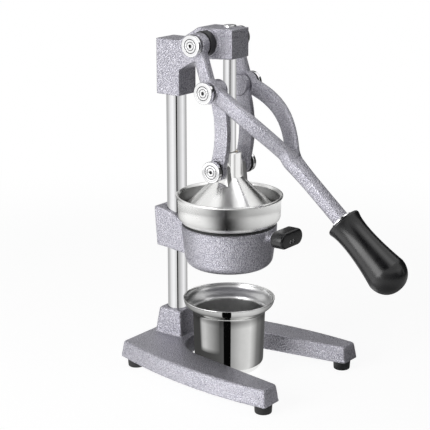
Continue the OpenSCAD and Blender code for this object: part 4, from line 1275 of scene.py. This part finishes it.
def cut(obj, tools):
    """Takes the volumes of the tools out of a closed piece, and drops the tools."""
    for tool in tools:
        change = obj.modifiers.new("cut", "BOOLEAN")
        change.operation, change.solver, change.object = "DIFFERENCE", "EXACT", tool
    evaluated = obj.evaluated_get(bpy.context.evaluated_depsgraph_get())
    whole = bpy.data.meshes.new_from_object(evaluated)
    obj.modifiers.clear()
    obj.data = whole
    for tool in tools:
        bpy.data.objects.remove(tool)
    obj.data.set_sharp_from_angle(angle=np.radians(SHARP_ANGLE))
    return obj


def knob_recess(x):
    """Cylinder for one sunk screw, across the knob's front face."""
    profile = np.array([(0, -RECESS_DEPTH), (RECESS_R, -RECESS_DEPTH), (RECESS_R, 2.0), (0, 2.0)])
    place = knob_back + np.array([x, -KNOB_DEPTH, -RECESS_DROP]) * MM
    return turned("recess", profile * MM, place, (0, -1, 0), 48)


low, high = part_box("holder_knob")
knob_back = np.array([0, high[1], (low[2] + high[2]) / 2])
knob = surface("moulded_knob", knob_grid() * MM + knob_back, wrap_v=True)
knob = cut(knob, [knob_recess(x) for x in (-RECESS_APART, RECESS_APART)])
dress(knob, "holder_knob", gloss_black)
print("knob:", len(knob.data.polygons), "faces")

# %% [markdown]
# ## Rod screw and seat ring
#
# A slotted chrome screw on top of the head holds the guide rod, and a thin black rubber
# ring seals the bowl in its holder; its black also stands for the shade in the gap
# between bowl and holder. The screw is turned and its slot is cut, which leaves the
# crisp edges that a milled slot has.

# %% Rod screw and seat ring
SCREW_SHANK_R, SCREW_HEAD, SLOT_DEPTH, SLOT_HALF, SLOT_EDGE = 4.9, 3.2, 1.9, 1.0, 0.05
SEAT_BORE, SEAT_EDGE = 52.3, 0.7

low, high = box_mm("guide_rod_screw")
radius, top = (high[0] - low[0]) / 2, high[2]
profile = rounded([(0, low[2]), (SCREW_SHANK_R, low[2]), (SCREW_SHANK_R, top - SCREW_HEAD),
                   (radius, top - SCREW_HEAD), (radius, top), (0, top)], [0, 0.4, 0.2, 0.4, 0.9, 0])
screw = turned("rod_screw", profile * MM, (0, 0, 0))
slot_outline = np.array([(-10, -SLOT_DEPTH), (10, -SLOT_DEPTH), (10, 2), (-10, 2)]) + (0, top)
slot = plate("slot", slot_outline, -SLOT_HALF, SLOT_HALF, SLOT_EDGE)
dress(cut(screw, [slot]), "guide_rod_screw", chrome)

# The seat ring's black rubber also stands for painted shade in the gap under the bowl.
low, high = box_mm("bowl_seat_ring")
profile = ring_profile(SEAT_BORE, high[0], low[2], high[2], SEAT_EDGE)
dress(turned("seat_ring", profile * MM, (0, 0, 0), turns=160), "bowl_seat_ring", rubber)
print("turned pieces ready")
